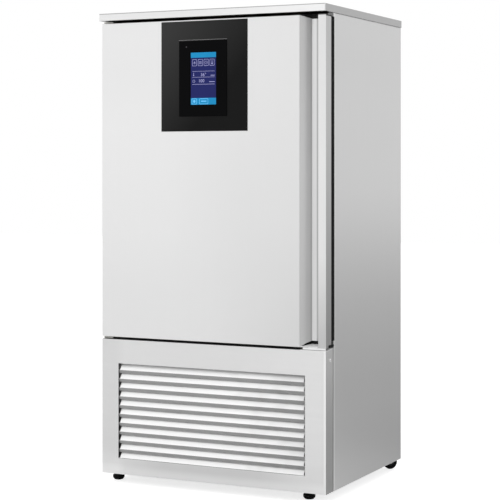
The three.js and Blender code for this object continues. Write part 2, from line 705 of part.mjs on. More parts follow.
function lowerFront() {
  const section = (inset, reach) => outline([
    [inset, FLOOR_CLEARANCE + inset],
    [reach, FLOOR_CLEARANCE + inset],
    [reach, PANEL_TOP + (SILL_RISE * reach) / PANEL_DEPTH - inset],
    [inset, PANEL_TOP - inset],
  ]);
  const outer = alongX(section(0, PANEL_DEPTH), [-HALF, HALF]);
  const inner = alongX(section(SHEET, PANEL_DEPTH + 1), [SHEET - HALF, HALF - SHEET]);
  const hingeNotch = block(
    [-HALF, HINGE_WIDTH + 2 * SHEET - HALF],
    [0, PANEL_DEPTH + 1],
    [PANEL_TOP + SHEET, DOOR_BOTTOM],
  );
  const opening = block([LOUVRE_LEFT, LOUVRE_RIGHT], [-1, SHEET + 1], [LOUVRE_BASE, LOUVRE_TOP]);
  const screwLine = [SCREW_FROM_FRONT, PANEL_TOP - SCREW_FROM_TOP];
  const hole = rod('x', screwLine, -HALF - 1, HALF + 1, SCREW_RADIUS + FIT, 12);
  place('lower_front_panel', 'brushed_steel', cut(outer, inner, opening, hole, hingeNotch));
  for (const [name, side] of SIDES) {
    const seat = side * (HALF + FIT);
    const crown = seat + side * SCREW_HEAD_HEIGHT;
    const tip = seat - side * SCREW_LENGTH;
    const screw = join(
      rod('x', screwLine, tip, (seat + crown) / 2, SCREW_RADIUS, 12),
      rod('x', screwLine, seat, crown, SCREW_HEAD),
    );
    place(`panel_screw_${name}`, 'galvanised', screw);
  }
}

// One louvre: a lip that leans back, then a shorter face that curves up and in.
function louvre(bottom, [left, right]) {
  const start = new THREE.Vector2(LOUVRE_FRONT, bottom + LOUVRE_LIP);
  const end = start.clone().add(new THREE.Vector2(LOUVRE_REACH, LOUVRE_RISE));
  const knee = start.clone().lerp(end, 0.5).add(new THREE.Vector2(0, LOUVRE_CROWN));
  const face = new THREE.QuadraticBezierCurve(start, knee, end).getPoints(3).map(({ x, y }) => [x, y]);
  const path = [[LOUVRE_FRONT + LOUVRE_LIP_LEAN, bottom], ...face].reverse();
  return join(
    alongX(sheetOutline(path, LOUVRE_SHEET), [left + LOUVRE_END_TRIM, right - LOUVRE_END_TRIM]),
    alongX(sheetOutline(path.slice(-2), LOUVRE_SHEET), [left, right]),
  );
}

function louvreGrille() {
  const span = [LOUVRE_LEFT + FIT, LOUVRE_RIGHT - FIT];
  const lowest = LOUVRE_BASE + LOUVRE_LAP - LOUVRE_LIP;
  const louvres = Array.from({ length: LOUVRE_COUNT }, (_, i) => louvre(lowest + i * LOUVRE_PITCH, span));
  const height = [LOUVRE_BASE - LOUVRE_BAR, LOUVRE_TOP + LOUVRE_BAR];
  const barDepth = [LOUVRE_BACK - 2 * LOUVRE_SHEET, LOUVRE_BACK];
  const barLefts = [span[0] + 3 * LOUVRE_BAR, LOUVRE_CENTRE_X - LOUVRE_BAR / 2, span[1] - 4 * LOUVRE_BAR];
  const bars = barLefts.map((x) => block([x, x + LOUVRE_BAR], barDepth, height));
  const rails = height.map((z) => block(span, [LOUVRE_FRONT, LOUVRE_BACK], [z, z + HEAVY_SHEET]));
  place('louvre_grille', 'brushed_steel', join(...louvres, ...bars, ...rails));
}

// ---------------------------------------------------------------- door
function outerSkin() {
  const edge = GRIP_START - FIT;
  const shape = outline([
    [-HALF, 0],
    [edge, 0],
    [edge, DOOR_FOLD],
    [-HALF, DOOR_FOLD],
  ]);
  const hollow = block(
    [SHEET - HALF, HALF],
    [SHEET, DOOR_THICKNESS],
    [DOOR_BOTTOM + SHEET, DOOR_TOP - SHEET],
  );
  const window = block(
    [FASCIA_LEFT - FIT, FASCIA_RIGHT + FIT],
    [-1, SHEET + 1],
    [FASCIA_BOTTOM - FIT, FASCIA_TOP + FIT],
  );
  const bushHole = rod('z', [HINGE_X, HINGE_Y], DOOR_BOTTOM - 1, DOOR_TOP + 1, BUSH_RADIUS + FIT);
  const skin = alongZ(shape, [DOOR_BOTTOM, DOOR_TOP]);
  place('door_outer_skin', 'brushed_steel', cut(skin, hollow, window, bushHole));
}

function gripProfile() {
  const recess = [DOOR_BOTTOM + GRIP_END_LOW, DOOR_TOP - GRIP_END_HIGH];
  const back = GRIP_DEPTH + GRIP_SHEET;
  const slant = outline([
    [GRIP_START, 0],
    [GRIP_FLOOR_START, GRIP_DEPTH],
    [GRIP_FLOOR_START, back],
    [GRIP_START, GRIP_SHEET],
  ]);
  // The slanted wall's ends run from the door's ends at the front to the recess floor's at the back.
  const slantEnds = outline([
    [0, DOOR_BOTTOM],
    [back, recess[0]],
    [back, recess[1]],
    [0, DOOR_TOP],
  ]);
  const wall = alongZ(slant, [DOOR_BOTTOM, DOOR_TOP]).intersect(
    alongX(slantEnds, [GRIP_START - 1, GRIP_FLOOR_START + 1]),
  );
  const floor = block([GRIP_FLOOR_START, HALF - GRIP_SHEET / 2], [GRIP_DEPTH, back], recess);
  const rim = sheetOutline([[GRIP_RIM, 0], [HALF, 0], [HALF, DOOR_FOLD]], GRIP_SHEET);
  const hem = block([GRIP_RIM, GRIP_RIM + GRIP_SHEET], [0, GRIP_HEM], [DOOR_BOTTOM, DOOR_TOP]);
  const closures = [recess[0], recess[1] - GRIP_SHEET].map((z) => block(
    [GRIP_FLOOR_START, HALF - GRIP_SHEET / 2],
    [GRIP_DEPTH, DOOR_FOLD],
    [z, z + GRIP_SHEET],
  ));
  const base = alongZ(outline([
    [GRIP_START, 0],
    [GRIP_RIM, 0],
    [GRIP_RIM, GRIP_DEPTH],
    [GRIP_FLOOR_START, GRIP_DEPTH],
  ]), [DOOR_BOTTOM, DOOR_BOTTOM + GRIP_SHEET]);
  const whole = join(wall, floor, alongZ(rim, [DOOR_BOTTOM, DOOR_TOP]), hem, base, ...closures);
  place('door_grip_profile', 'brushed_steel', whole);
}

const plugSpan = (inset) => [
  [PLUG_MARGIN + inset - HALF, HALF - PLUG_MARGIN - inset],
  [DOOR_BOTTOM + PLUG_MARGIN + inset, DOOR_TOP - PLUG_MARGIN - inset],
];

function doorCore() {
  const inner = DOOR_INNER_HALF - FIT;
  const front = SHEET + FIT;
  const behind = GRIP_DEPTH + GRIP_SHEET + FIT;
  const shape = outline([
    [-inner, front],
    [GRIP_START - GRIP_SHEET, front],
    [GRIP_FLOOR_START - GRIP_SHEET, behind],
    [inner - GRIP_SHEET, behind],
    [inner - GRIP_SHEET, DOOR_FOLD],
    [-inner, DOOR_FOLD],
  ]);
  const [plugX, plugZ] = plugSpan(SHEET + FIT);
  const fill = block(plugX, [DOOR_FOLD - 1, INNER_FRONT + PLUG_RISE - FIT], plugZ);
  const pocket = block(
    [FASCIA_LEFT - BOARD_MARGIN, FASCIA_RIGHT + BOARD_MARGIN],
    [0, BOARD_POCKET],
    [FASCIA_BOTTOM - BOARD_MARGIN, DOOR_TOP],
  );
  const bushHole = rod('z', [HINGE_X, HINGE_Y], DOOR_BOTTOM, DOOR_TOP, BUSH_RADIUS + FIT);
  const body = alongZ(shape, [DOOR_BOTTOM + CORE_INSET, DOOR_TOP - CORE_INSET]);
  place('door_core', 'foam', cut(join(body, fill), pocket, bushHole));
}

function innerLiner() {
  const edge = DOOR_INNER_HALF;
  const [plugX, plugZ] = plugSpan(0);
  const [hollowX, hollowZ] = plugSpan(SHEET);
  const sheet = block([-edge, edge], [INNER_FRONT, INNER_BACK], [DOOR_BOTTOM, DOOR_TOP]);
  const plug = block(plugX, [INNER_FRONT, INNER_BACK + PLUG_RISE], plugZ);
  const hollow = block(hollowX, [INNER_FRONT - 1, INNER_FRONT + PLUG_RISE], hollowZ);
  place('door_inner_liner', 'liner_steel', cut(join(sheet, plug), hollow));
}

function sealRing(outerInset, width, depth) {
  const span = (inset) => [
    [inset - HALF, HALF - inset],
    [DOOR_BOTTOM + SEAL_CORNER - SEAL_EDGE + inset, DOOR_TOP - SEAL_CORNER + SEAL_EDGE - inset],
  ];
  const ring = alongY(roundedOutline(...span(outerInset), SEAL_CORNER), depth);
  const [holeX, holeZ] = span(outerInset + width);
  return cut(ring, block(holeX, [depth[0] - 1, depth[1] + 1], holeZ));
}

function doorSeal() {
  const seat = INNER_BACK + FIT;
  const shoulder = seat + SEAL_BASE_DEPTH;
  const base = sealRing(SEAL_EDGE, SEAL_BASE_WIDTH, [seat, shoulder]);
  const bulb = sealRing(SEAL_EDGE + SEAL_BULB_INSET, SEAL_BULB_WIDTH, [shoulder - 1, CABINET_FRONT - FIT]);
  place('door_gasket', 'rubber', join(base, bulb));
}

function controlPanel() {
  const wide = (left, right, extra) => [left - extra, right + extra];
  const fasciaX = [FASCIA_LEFT, FASCIA_RIGHT];
  const fasciaZ = [FASCIA_BOTTOM, FASCIA_TOP];
  const flangeFront = SHEET + FIT;
  const fascia = cut(
    join(
      block(fasciaX, [-FASCIA_PROUD, FASCIA_THICKNESS], fasciaZ),
      block(
        wide(...fasciaX, FASCIA_FLANGE),
        [flangeFront, FASCIA_THICKNESS],
        wide(...fasciaZ, FASCIA_FLANGE),
      ),
    ),
    block(
      wide(MODULE_LEFT, MODULE_RIGHT, FIT),
      [-FASCIA_PROUD - 1, FASCIA_THICKNESS + 1],
      wide(MODULE_BOTTOM, MODULE_TOP, FIT),
    ),
  );
  place('control_fascia', 'black_plastic', fascia);

  const moduleBack = MODULE_DEPTH - MODULE_PROUD;
  const screenFront = -MODULE_PROUD + FIT;
  const screenBack = screenFront + SCREEN_THICKNESS;
  const bezel = cut(
    join(
      block([MODULE_LEFT, MODULE_RIGHT], [-MODULE_PROUD, moduleBack], [MODULE_BOTTOM, MODULE_TOP]),
      block(
        wide(MODULE_LEFT, MODULE_RIGHT, SCREEN_LEDGE),
        [FASCIA_THICKNESS + FIT, moduleBack],
        wide(MODULE_BOTTOM, MODULE_TOP, SCREEN_LEDGE),
      ),
    ),
    block(
      wide(SCREEN_LEFT, SCREEN_RIGHT, FIT),
      [-MODULE_PROUD - 1, screenBack + FIT],
      wide(SCREEN_BOTTOM, SCREEN_TOP, FIT),
    ),
    block(
      wide(SCREEN_LEFT, SCREEN_RIGHT, -SCREEN_LEDGE),
      [-MODULE_PROUD, moduleBack + 1],
      wide(SCREEN_BOTTOM, SCREEN_TOP, -SCREEN_LEDGE),
    ),
  );
  place('display_bezel', 'gloss_black', bezel);
  const screen = block([SCREEN_LEFT, SCREEN_RIGHT], [screenFront, screenBack], [SCREEN_BOTTOM, SCREEN_TOP]);
  place('touch_screen', 'screen_glass', screen);

  const boardFront = moduleBack + FIT;
  const boardBack = boardFront + BOARD_THICKNESS;
  const parts = Array.from({ length: 3 }, (_, i) => {
    const bottom = MODULE_BOTTOM + BOARD_MARGIN + (i * MODULE_HEIGHT) / 3;
    return block([MODULE_LEFT + BOARD_MARGIN, MODULE_CENTRE_X], [boardBack, boardBack + BOARD_MARGIN], [
      bottom,
      bottom + MODULE_HEIGHT / 6,
    ]);
  });
  const board = block([MODULE_LEFT, MODULE_RIGHT], [boardFront, boardBack + FIT], [MODULE_BOTTOM, MODULE_TOP]);
  place('controller_board', 'circuit_board', join(board, ...parts));
}

// Each hinge has a bush in the door and a bracket with a pin on the cabinet: up is 1 at the top, -1 below.
function hinge(name, up, doorEdge) {
  const axis = [HINGE_X, HINGE_Y];
  const bush = cut(
    join(
      rod('z', axis, doorEdge - up * BUSH_LENGTH, doorEdge + up * FIT, BUSH_RADIUS),
      rod('z', axis, doorEdge + up * FIT, doorEdge + up * (FIT + BUSH_FLANGE), BUSH_FLANGE_RADIUS),
    ),
    rod('z', axis, doorEdge - up * (BUSH_LENGTH + 1), doorEdge + up * (BUSH_FLANGE + 1), BUSH_BORE),
  );
  place(`hinge_bush_${name}`, 'aluminium', bush);

  const seat = doorEdge + up * (2 * FIT + BUSH_FLANGE);
  const outside = seat + up * HINGE_PLATE;
  const width = [FIT + SHEET - HALF, FIT + SHEET - HALF + HINGE_WIDTH];
  const back = CABINET_FRONT - FIT;
  const bracket = join(
    block(width, [HINGE_Y - BUSH_FLANGE_RADIUS, back], [seat, outside]),
    block(width, [back - HINGE_PLATE, back], [outside - up * HINGE_LEG, outside]),
    rod('z', axis, doorEdge - up * PIN_LENGTH, outside, PIN_RADIUS),
  );
  place(`hinge_bracket_${name}`, 'galvanised', bracket);
}

// ---------------------------------------------------------------- feet and castors
function frontFeet() {
  for (const [name, x] of [['left', FOOT_LEFT_X], ['right', FOOT_RIGHT_X]]) {
    const foot = turned([x, FOOT_FROM_FRONT], [
      [0, 0],
      [FOOT_SOLE_RADIUS, 0],
      [FOOT_RADIUS, FOOT_HEIGHT * 0.45],
      [FOOT_RADIUS, FOOT_HEIGHT * 0.75],
      [STEM_RADIUS * 2, FOOT_HEIGHT],
      [STEM_RADIUS, FOOT_HEIGHT],
      [STEM_RADIUS, STEM_TOP],
      [0, STEM_TOP],
    ], 16);
    place(`front_foot_${name}`, 'rubber', foot);
  }
}

// A castor in its own frame: X is where the wheel trails, Y is along the axle, the pivot is at the origin.
function castor(name, side) {
  const group = new THREE.Group();
  group.position.set(side * CASTOR_X, CASTOR_Y, 0);
  group.rotation.z = THREE.MathUtils.degToRad(side > 0 ? CASTOR_HEADING : 180 - CASTOR_HEADING);
  assembly.add(group);

  const hub = [CASTOR_TRAIL, WHEEL_RADIUS];
  const half = WHEEL_WIDTH / 2;
  const legIn = half + FORK_GAP;
  const legOut = legIn + FORK_SHEET;
  const tread = [
    [AXLE_RADIUS + FIT, -half],
    [WHEEL_RADIUS - WHEEL_ROUND, -half],
    [WHEEL_RADIUS, WHEEL_ROUND - half],
    [WHEEL_RADIUS, half - WHEEL_ROUND],
    [WHEEL_RADIUS - WHEEL_ROUND, half],
    [AXLE_RADIUS + FIT, half],
    [AXLE_RADIUS + FIT, -half],
  ].map(([radius, along]) => new THREE.Vector2(radius, along));
  const wheel = solidOf(new THREE.LatheGeometry(tread, 24).translate(hub[0], 0, hub[1]));
  place(`castor_wheel_${name}`, 'rubber', wheel, group);

  const crownBottom = FORK_TOP - FORK_CROWN;
  const leg = outline([
    [-FORK_CROWN_RADIUS * 0.6, crownBottom + 1],
    [hub[0] - FORK_EYE, hub[1] - FORK_EYE / 2],
    [hub[0] - FORK_EYE / 2, hub[1] - FORK_EYE],
    [hub[0] + FORK_EYE / 2, hub[1] - FORK_EYE],
    [hub[0] + FORK_EYE, hub[1] - FORK_EYE / 2],
    [FORK_CROWN_RADIUS * 0.6, crownBottom + 1],
  ]);
  const fork = cut(
    join(
      rod('z', [0, 0], crownBottom, FORK_TOP, FORK_CROWN_RADIUS, 20),
      alongY(leg, [legIn, legOut]),
      alongY(leg, [-legOut, -legIn]),
    ),
    rod('z', [0, 0], crownBottom - 1, FORK_TOP + 1, KING_PIN_RADIUS + FIT),
    rod('y', hub, -legOut - 1, legOut + 1, AXLE_RADIUS + FIT, 12),
  );
  place(`castor_fork_${name}`, 'galvanised', fork, group);

  const axleSeat = legOut + FIT;
  const axle = join(
    rod('y', hub, -axleSeat, axleSeat, AXLE_RADIUS, 12),
    rod('y', hub, axleSeat, axleSeat + AXLE_HEAD_HEIGHT, AXLE_HEAD, 12),
    rod('y', hub, -axleSeat - AXLE_HEAD_HEIGHT, -axleSeat, AXLE_HEAD, 12),
  );
  place(`castor_axle_${name}`, 'galvanised', axle, group);

  const plateTop = CASTOR_PLATE_BOTTOM + CASTOR_PLATE;
  const pinHead = crownBottom - FIT;
  const plate = join(
    rod('z', [0, 0], pinHead, plateTop - 1, KING_PIN_RADIUS),
    rod('z', [0, 0], pinHead - FORK_SHEET, pinHead, KING_PIN_HEAD),
    rod('z', [0, 0], CASTOR_PLATE_BOTTOM, plateTop, CASTOR_PLATE_SIZE / 2, 8),
  );
  place(`castor_plate_${name}`, 'galvanised', plate, group);
}

// ---------------------------------------------------------------- inside the chamber
function trayRack(name, side) {
  const lipInner = TRAY_WIDTH / 2 - RUNNER_OVERLAP;
  const guide = TRAY_WIDTH / 2 + RUNNER_PLAY;
  const wallSide = LINER_HALF - FIT;
  const front = FRAME_FRONT + RUNNER_FRONT;
  const back = SHROUD_FRONT - RUNNER_BACK_GAP;
  const runners = RUNNER_LEVELS.flatMap((z) => [
    block([side * lipInner, side * (wallSide - 1)], [front, back], [z, z + HEAVY_SHEET]),
    block([side * guide, side * (guide + HEAVY_SHEET)], [front, back], [z, z + RUNNER_LIP]),
  ]);
  const top = RUNNER_LEVELS.at(-1) + RACK_HEAD;
  const uprights = [front + UPRIGHT_INSET, back - UPRIGHT_INSET - UPRIGHT_DEPTH].map((y) => block(
    [side * (wallSide - UPRIGHT_WIDTH), side * wallSide],
    [y, y + UPRIGHT_DEPTH],
    [LINER_FLOOR + CHAMBER_CORNER, top],
  ));
  place(`tray_rack_${name}`, 'liner_steel', join(...runners, ...uprights));
}

function fanShroud() {
  const wall = LINER_HALF - FIT;
  const back = COIL_BACK;
  const path = [[wall, back], [wall, SHROUD_FRONT], [-wall, SHROUD_FRONT], [-wall, back]];
  const shape = sheetOutline(path.reverse(), SHEET);
  const height = [LINER_FLOOR + SHROUD_FLOOR_GAP, LINER_CEILING - SHROUD_CEILING_GAP];
  const holes = [-1, 1].map((step) => rod(
    'y',
    [0, FAN_MIDDLE + (step * FAN_SPACING) / 2],
    SHROUD_FRONT - 2 * SHEET,
    SHROUD_FRONT + 2 * SHEET,
    FAN_HOLE_RADIUS,
    28,
  ));
  place('fan_shroud', 'liner_steel', cut(alongZ(shape, height), ...holes));
}

function ring(y, [x, z], inner, outer, sides) {
  return cut(
    rod('y', [x, z], ...y, outer, sides),
    rod('y', [x, z], y[0] - 1, y[1] + 1, inner, sides),
  );
}

// A rotor with flat pitched blades on a hub that turns on the motor's shaft.
function fanRotor(axis, hubY, tipRadius, blades) {
  const [x, z] = axis;
  const middle = (hubY[0] + hubY[1]) / 2;
  const root = FAN_HUB_RADIUS - 4;
  const length = tipRadius - root;
  const vanes = Array.from({ length: blades }, (_, i) => solidOf(
    new THREE.BoxGeometry(FAN_CHORD, BLADE_SHEET, length)
      .rotateZ(THREE.MathUtils.degToRad(BLADE_ANGLE))
      .translate(0, 0, root + length / 2)
      .rotateY((i * 2 * Math.PI) / blades)
      .translate(x, middle, z),
  ));
  const disc = rod('y', axis, ...hubY, FAN_HUB_RADIUS, FAN_HUB_SIDES);
  const trim = ring([hubY[0] - FAN_CHORD, hubY[1] + FAN_CHORD], axis, tipRadius, 2 * tipRadius, GUARD_SIDES);
  const bore = rod('y', axis, hubY[0] - FAN_CHORD, hubY[1] + FAN_CHORD, FAN_SHAFT_RADIUS + FIT);
  const motorSpace = rod('y', axis, hubY[0] - FAN_CHORD, hubY[0], FAN_MOTOR_RADIUS + 2, FAN_HUB_SIDES);
  return cut(join(cut(join(...vanes), motorSpace), disc), trim, bore);
}

function evaporatorFan(name, z) {
  const axis = [0, z];
  const guardBack = SHROUD_FRONT - FIT;
  const guardFront = guardBack - GUARD_DEPTH;
  const face = [guardFront, guardFront + GUARD_WIRE];
  const gap = (GUARD_RADIUS - FAN_MOTOR_RADIUS) / (GUARD_RINGS + 1);
  const wires = Array.from({ length: GUARD_RINGS }, (_, i) => {
    const radius = FAN_MOTOR_RADIUS + (i + 1) * gap;
    return ring(face, axis, radius - GUARD_WIRE, radius, GUARD_SIDES);
  });
  const spokes = Array.from({ length: GUARD_SPOKES }, (_, i) => solidOf(
    new THREE.BoxGeometry(2 * (GUARD_RADIUS - GUARD_RING / 2), GUARD_WIRE, GUARD_WIRE)
      .rotateY((i * Math.PI) / GUARD_SPOKES)
      .translate(0, guardFront + GUARD_WIRE / 2, z),
  ));
  const guard = join(
    ring([guardFront, guardBack], axis, GUARD_RADIUS - GUARD_RING, GUARD_RADIUS, GUARD_SIDES),
    rod('y', axis, ...face, FAN_MOTOR_RADIUS, FAN_HUB_SIDES),
    ...wires,
    ...spokes,
  );
  place(`evap_fan_guard_${name}`, 'liner_steel', guard);

  const motorFront = face[1] + FIT;
  const motorBack = motorFront + FAN_MOTOR_DEPTH;
  const hub = [motorBack + FIT, motorBack + FIT + FAN_HUB_DEPTH];
  const motor = join(
    rod('y', axis, motorFront, motorBack, FAN_MOTOR_RADIUS, FAN_HUB_SIDES),
    rod('y', axis, motorBack - 1, hub[1], FAN_SHAFT_RADIUS),
  );
  place(`evap_fan_motor_${name}`, 'black_paint', motor);
  place(`evap_fan_rotor_${name}`, 'aluminium', fanRotor(axis, hub, FAN_RADIUS, FAN_BLADES));
}

// Return bends stand out of a coil's end plate, one over another.
function returnBends(x, side, y, [low, high]) {
  const pitch = (high - low) / COIL_BENDS;
  return Array.from({ length: COIL_BENDS }, (_, i) => {
    const middle = low + (i + 0.5) * pitch;
    const out = x + side * COIL_BEND_RADIUS * 1.5;
    const points = [
      [x - side, y, middle - COIL_BEND_RADIUS],
      [out, y, middle - COIL_BEND_RADIUS],
      [out, y, middle + COIL_BEND_RADIUS],
      [x - side, y, middle + COIL_BEND_RADIUS],
    ];
    return pipe(points, COIL_TUBE_RADIUS, COIL_BEND_RADIUS - 1);
  });
}

function evaporatorCoil() {
  const half = COIL_WIDTH / 2;
  const height = [COIL_BOTTOM, COIL_TOP];
  const plates = SIDES.map(([, side]) => block(
    [side * half, side * (half + COIL_PLATE)],
    [COIL_FRONT - COIL_PLATE, COIL_BACK],
    [LINER_FLOOR + FIT, COIL_TOP + COIL_PLATE],
  ));
  const stub = ([x, y], radius) => rod('z', [x, y], COIL_BOTTOM - STUB_LENGTH, COIL_BOTTOM + 1, radius, 8);
  const coil = join(
    block([-half, half], [COIL_FRONT, COIL_BACK], height),
    ...plates,
    ...returnBends(half + COIL_PLATE, 1, COIL_PORT_Y, height),
    stub(SUCTION_HOLE, SUCTION_RADIUS),
    stub(LIQUID_HOLE, PIPE_RADIUS),
  );
  place('evaporator_coil', 'aluminium', coil);
}

function drain() {
  const axis = [DRAIN_X, DRAIN_Y];
  const top = LINER_FLOOR + FIT;
  const bottom = DECK + PAN_HEIGHT;
  const tube = cut(
    join(
      rod('z', axis, bottom, top + 1, DRAIN_RADIUS),
      rod('z', axis, top, top + SHEET, DRAIN_FLANGE),
    ),
    rod('z', axis, bottom - 1, top + 2 * SHEET, DRAIN_RADIUS - DRAIN_WALL),
  );
  place('drain_tube', 'black_plastic', tube);
  const span = (middle, size, inset) => [middle - size / 2 + inset, middle + size / 2 - inset];
  const pan = cut(
    block(span(DRAIN_X, PAN_WIDTH, 0), span(DRAIN_Y, PAN_LENGTH, 0), [DECK, DECK + PAN_HEIGHT - FIT]),
    block(
      span(DRAIN_X, PAN_WIDTH, HEAVY_SHEET),
      span(DRAIN_Y, PAN_LENGTH, HEAVY_SHEET),
      [DECK + HEAVY_SHEET, DECK + PAN_HEIGHT + 1],
    ),
  );
  place('condensate_pan', 'black_plastic', pan);
}

// ---------------------------------------------------------------- machine compartment
function condenser() {
  const height = [DECK, CONDENSER_TOP];
  const depth = [CONDENSER_FRONT, CONDENSER_BACK];
  const ends = [CONDENSER_LEFT, CONDENSER_RIGHT].map((x, i) => block(
    [x, x + (i ? COIL_PLATE : -COIL_PLATE)],
    [CONDENSER_FRONT - COIL_PLATE, CONDENSER_BACK],
    height,
  ));
  const stubAt = (z) => rod(
    'x',
    [CONDENSER_STUB_Y, z],
    CONDENSER_RIGHT - 1,
    CONDENSER_RIGHT + COIL_PLATE + STUB_LENGTH,
    PIPE_RADIUS,
    8,
  );
  const coil = join(
    block([CONDENSER_LEFT, CONDENSER_RIGHT], depth, [DECK + COIL_PLATE, CONDENSER_TOP - COIL_PLATE]),
    ...ends,
    ...returnBends(CONDENSER_LEFT - COIL_PLATE, -1, CONDENSER_STUB_Y, height),
    stubAt(CONDENSER_STUB_TOP),
    stubAt(CONDENSER_STUB_LOW),
  );
  place('condenser_coil', 'aluminium', coil);

  const axis = [CONDENSER_MIDDLE, CONDENSER_AXIS_Z];
  const shroudFront = CONDENSER_BACK + FIT;
  const shroudBack = shroudFront + CONDENSER_SHROUD_DEPTH;
  const shroud = cut(
    block([CONDENSER_LEFT, CONDENSER_RIGHT], [shroudFront, shroudBack], height),
    block(
      [CONDENSER_LEFT + SHEET, CONDENSER_RIGHT - SHEET],
      [shroudFront - 1, shroudBack - SHEET],
      [DECK + SHEET, CONDENSER_TOP - SHEET],
    ),
    rod('y', axis, shroudFront, shroudBack + 1, CONDENSER_FAN_HOLE, 28),
  );
  place('condenser_fan_shroud', 'black_paint', shroud);

  const hub = [shroudBack - FAN_HUB_DEPTH, shroudBack];
  const armBack = shroudBack + FIT + GUARD_WIRE;
  const motorFront = hub[1] + FIT;
  const arms = Array.from({ length: 3 }, (_, i) => solidOf(
    new THREE.BoxGeometry(CONDENSER_FAN_HOLE + GUARD_RING, GUARD_WIRE, 3 * GUARD_WIRE)
      .translate((CONDENSER_FAN_HOLE + GUARD_RING) / 2, 0, 0)
      .rotateY(Math.PI / 2 + (i * 2 * Math.PI) / 3)
      .translate(axis[0], armBack - GUARD_WIRE / 2, axis[1]),
  ));
  const motor = join(
    rod('y', axis, motorFront, motorFront + 2 * FAN_MOTOR_DEPTH, FAN_MOTOR_RADIUS, FAN_HUB_SIDES),
    rod('y', axis, hub[0], motorFront + 1, FAN_SHAFT_RADIUS),
    ...arms,
  );
  place('condenser_fan_motor', 'black_paint', motor);
  const rotor = fanRotor(axis, hub, CONDENSER_FAN_RADIUS, FAN_BLADES);
  const behind = block(
    [CONDENSER_LEFT, CONDENSER_RIGHT],
    [hub[1] + FIT / 2, hub[1] + FAN_CHORD],
    [DECK, CONDENSER_TOP],
  );
  place('condenser_fan_rotor', 'aluminium', cut(rotor, behind));
}

function compressor() {
  const centre = [COMPRESSOR_X, COMPRESSOR_Y];
  const dome = COMPRESSOR_BASE + COMPRESSOR_SHELL;
  const shell = turned(centre, [
    [0, COMPRESSOR_BASE],
    [COMPRESSOR_RADIUS * 0.8, COMPRESSOR_BASE],
    [COMPRESSOR_RADIUS, COMPRESSOR_BASE + COMPRESSOR_DOME / 2],
    [COMPRESSOR_RADIUS, dome],
    [COMPRESSOR_RADIUS * 0.88, dome + COMPRESSOR_DOME * 0.5],
    [COMPRESSOR_RADIUS * 0.55, dome + COMPRESSOR_DOME * 0.87],
    [0, dome + COMPRESSOR_DOME],
  ], 24);
  const reachX = COMPRESSOR_FOOT / 2;
  const reachY = COMPRESSOR_FOOT_WIDTH / 2;
  const foot = block(
    [COMPRESSOR_X - reachX, COMPRESSOR_X + reachX],
    [COMPRESSOR_Y - reachY, COMPRESSOR_Y + reachY],
    [COMPRESSOR_BASE - HEAVY_SHEET, COMPRESSOR_BASE + HEAVY_SHEET],
  );
  const grommets = [-1, 1].flatMap((sideX) => [-1, 1].map((sideY) => rod(
    'z',
    [
      COMPRESSOR_X + sideX * (reachX - GROMMET_RADIUS),
      COMPRESSOR_Y + sideY * (reachY - GROMMET_RADIUS),
    ],
    DECK,
    COMPRESSOR_BASE,
    GROMMET_RADIUS,
    12,
  )));
  const port = (at, radius) => rod('z', at, dome, PORT_Z, radius, 8);
  const terminals = block(
    [COMPRESSOR_X + COMPRESSOR_RADIUS * 0.8, COMPRESSOR_X + COMPRESSOR_RADIUS * 1.3],
    [COMPRESSOR_Y - COMPRESSOR_DOME, COMPRESSOR_Y + COMPRESSOR_DOME],
    [COMPRESSOR_BASE + COMPRESSOR_DOME, COMPRESSOR_BASE + COMPRESSOR_SHELL / 2],
  );
  const whole = join(
    shell,
    foot,
    ...grommets,
    terminals,
    port(SUCTION_PORT, SUCTION_RADIUS),
    port(DISCHARGE_PORT, PIPE_RADIUS),
  );
  place('compressor', 'black_paint', whole);
}

function refrigerantVessels() {
  const centre = [RECEIVER_X, RECEIVER_Y];
  const round = RECEIVER_RADIUS * 0.6;
  const vessel = turned(centre, [
    [0, DECK],
    [RECEIVER_RADIUS * 0.7, DECK],
    [RECEIVER_RADIUS, DECK + round / 2],
    [RECEIVER_RADIUS, RECEIVER_TOP - round],
    [RECEIVER_RADIUS * 0.7, RECEIVER_TOP - round / 3],
    [0, RECEIVER_TOP],
  ], 20);
  const inlet = rod(
    'x',
    [RECEIVER_Y, CONDENSER_STUB_LOW],
    RECEIVER_X,
    RECEIVER_X - RECEIVER_RADIUS - STUB_LENGTH,
    PIPE_RADIUS,
    8,
  );
  const outlet = rod('z', LIQUID_PORT, RECEIVER_TOP - round, RECEIVER_TOP + STUB_LENGTH, PIPE_RADIUS, 8);
  place('liquid_receiver', 'black_paint', join(vessel, inlet, outlet));

  const cone = DRIER_RADIUS;
  const drier = turned(LIQUID_PORT, [
    [0, DRIER_BOTTOM],
    [PIPE_RADIUS, DRIER_BOTTOM],
    [PIPE_RADIUS, DRIER_BOTTOM + cone / 2],
    [DRIER_RADIUS, DRIER_BOTTOM + 1.5 * cone],
    [DRIER_RADIUS, DRIER_TOP - 1.5 * cone],
    [PIPE_RADIUS, DRIER_TOP - cone / 2],
    [PIPE_RADIUS, DRIER_TOP],
    [0, DRIER_TOP],
  ], 16);
  place('filter_drier', 'copper', drier);
}

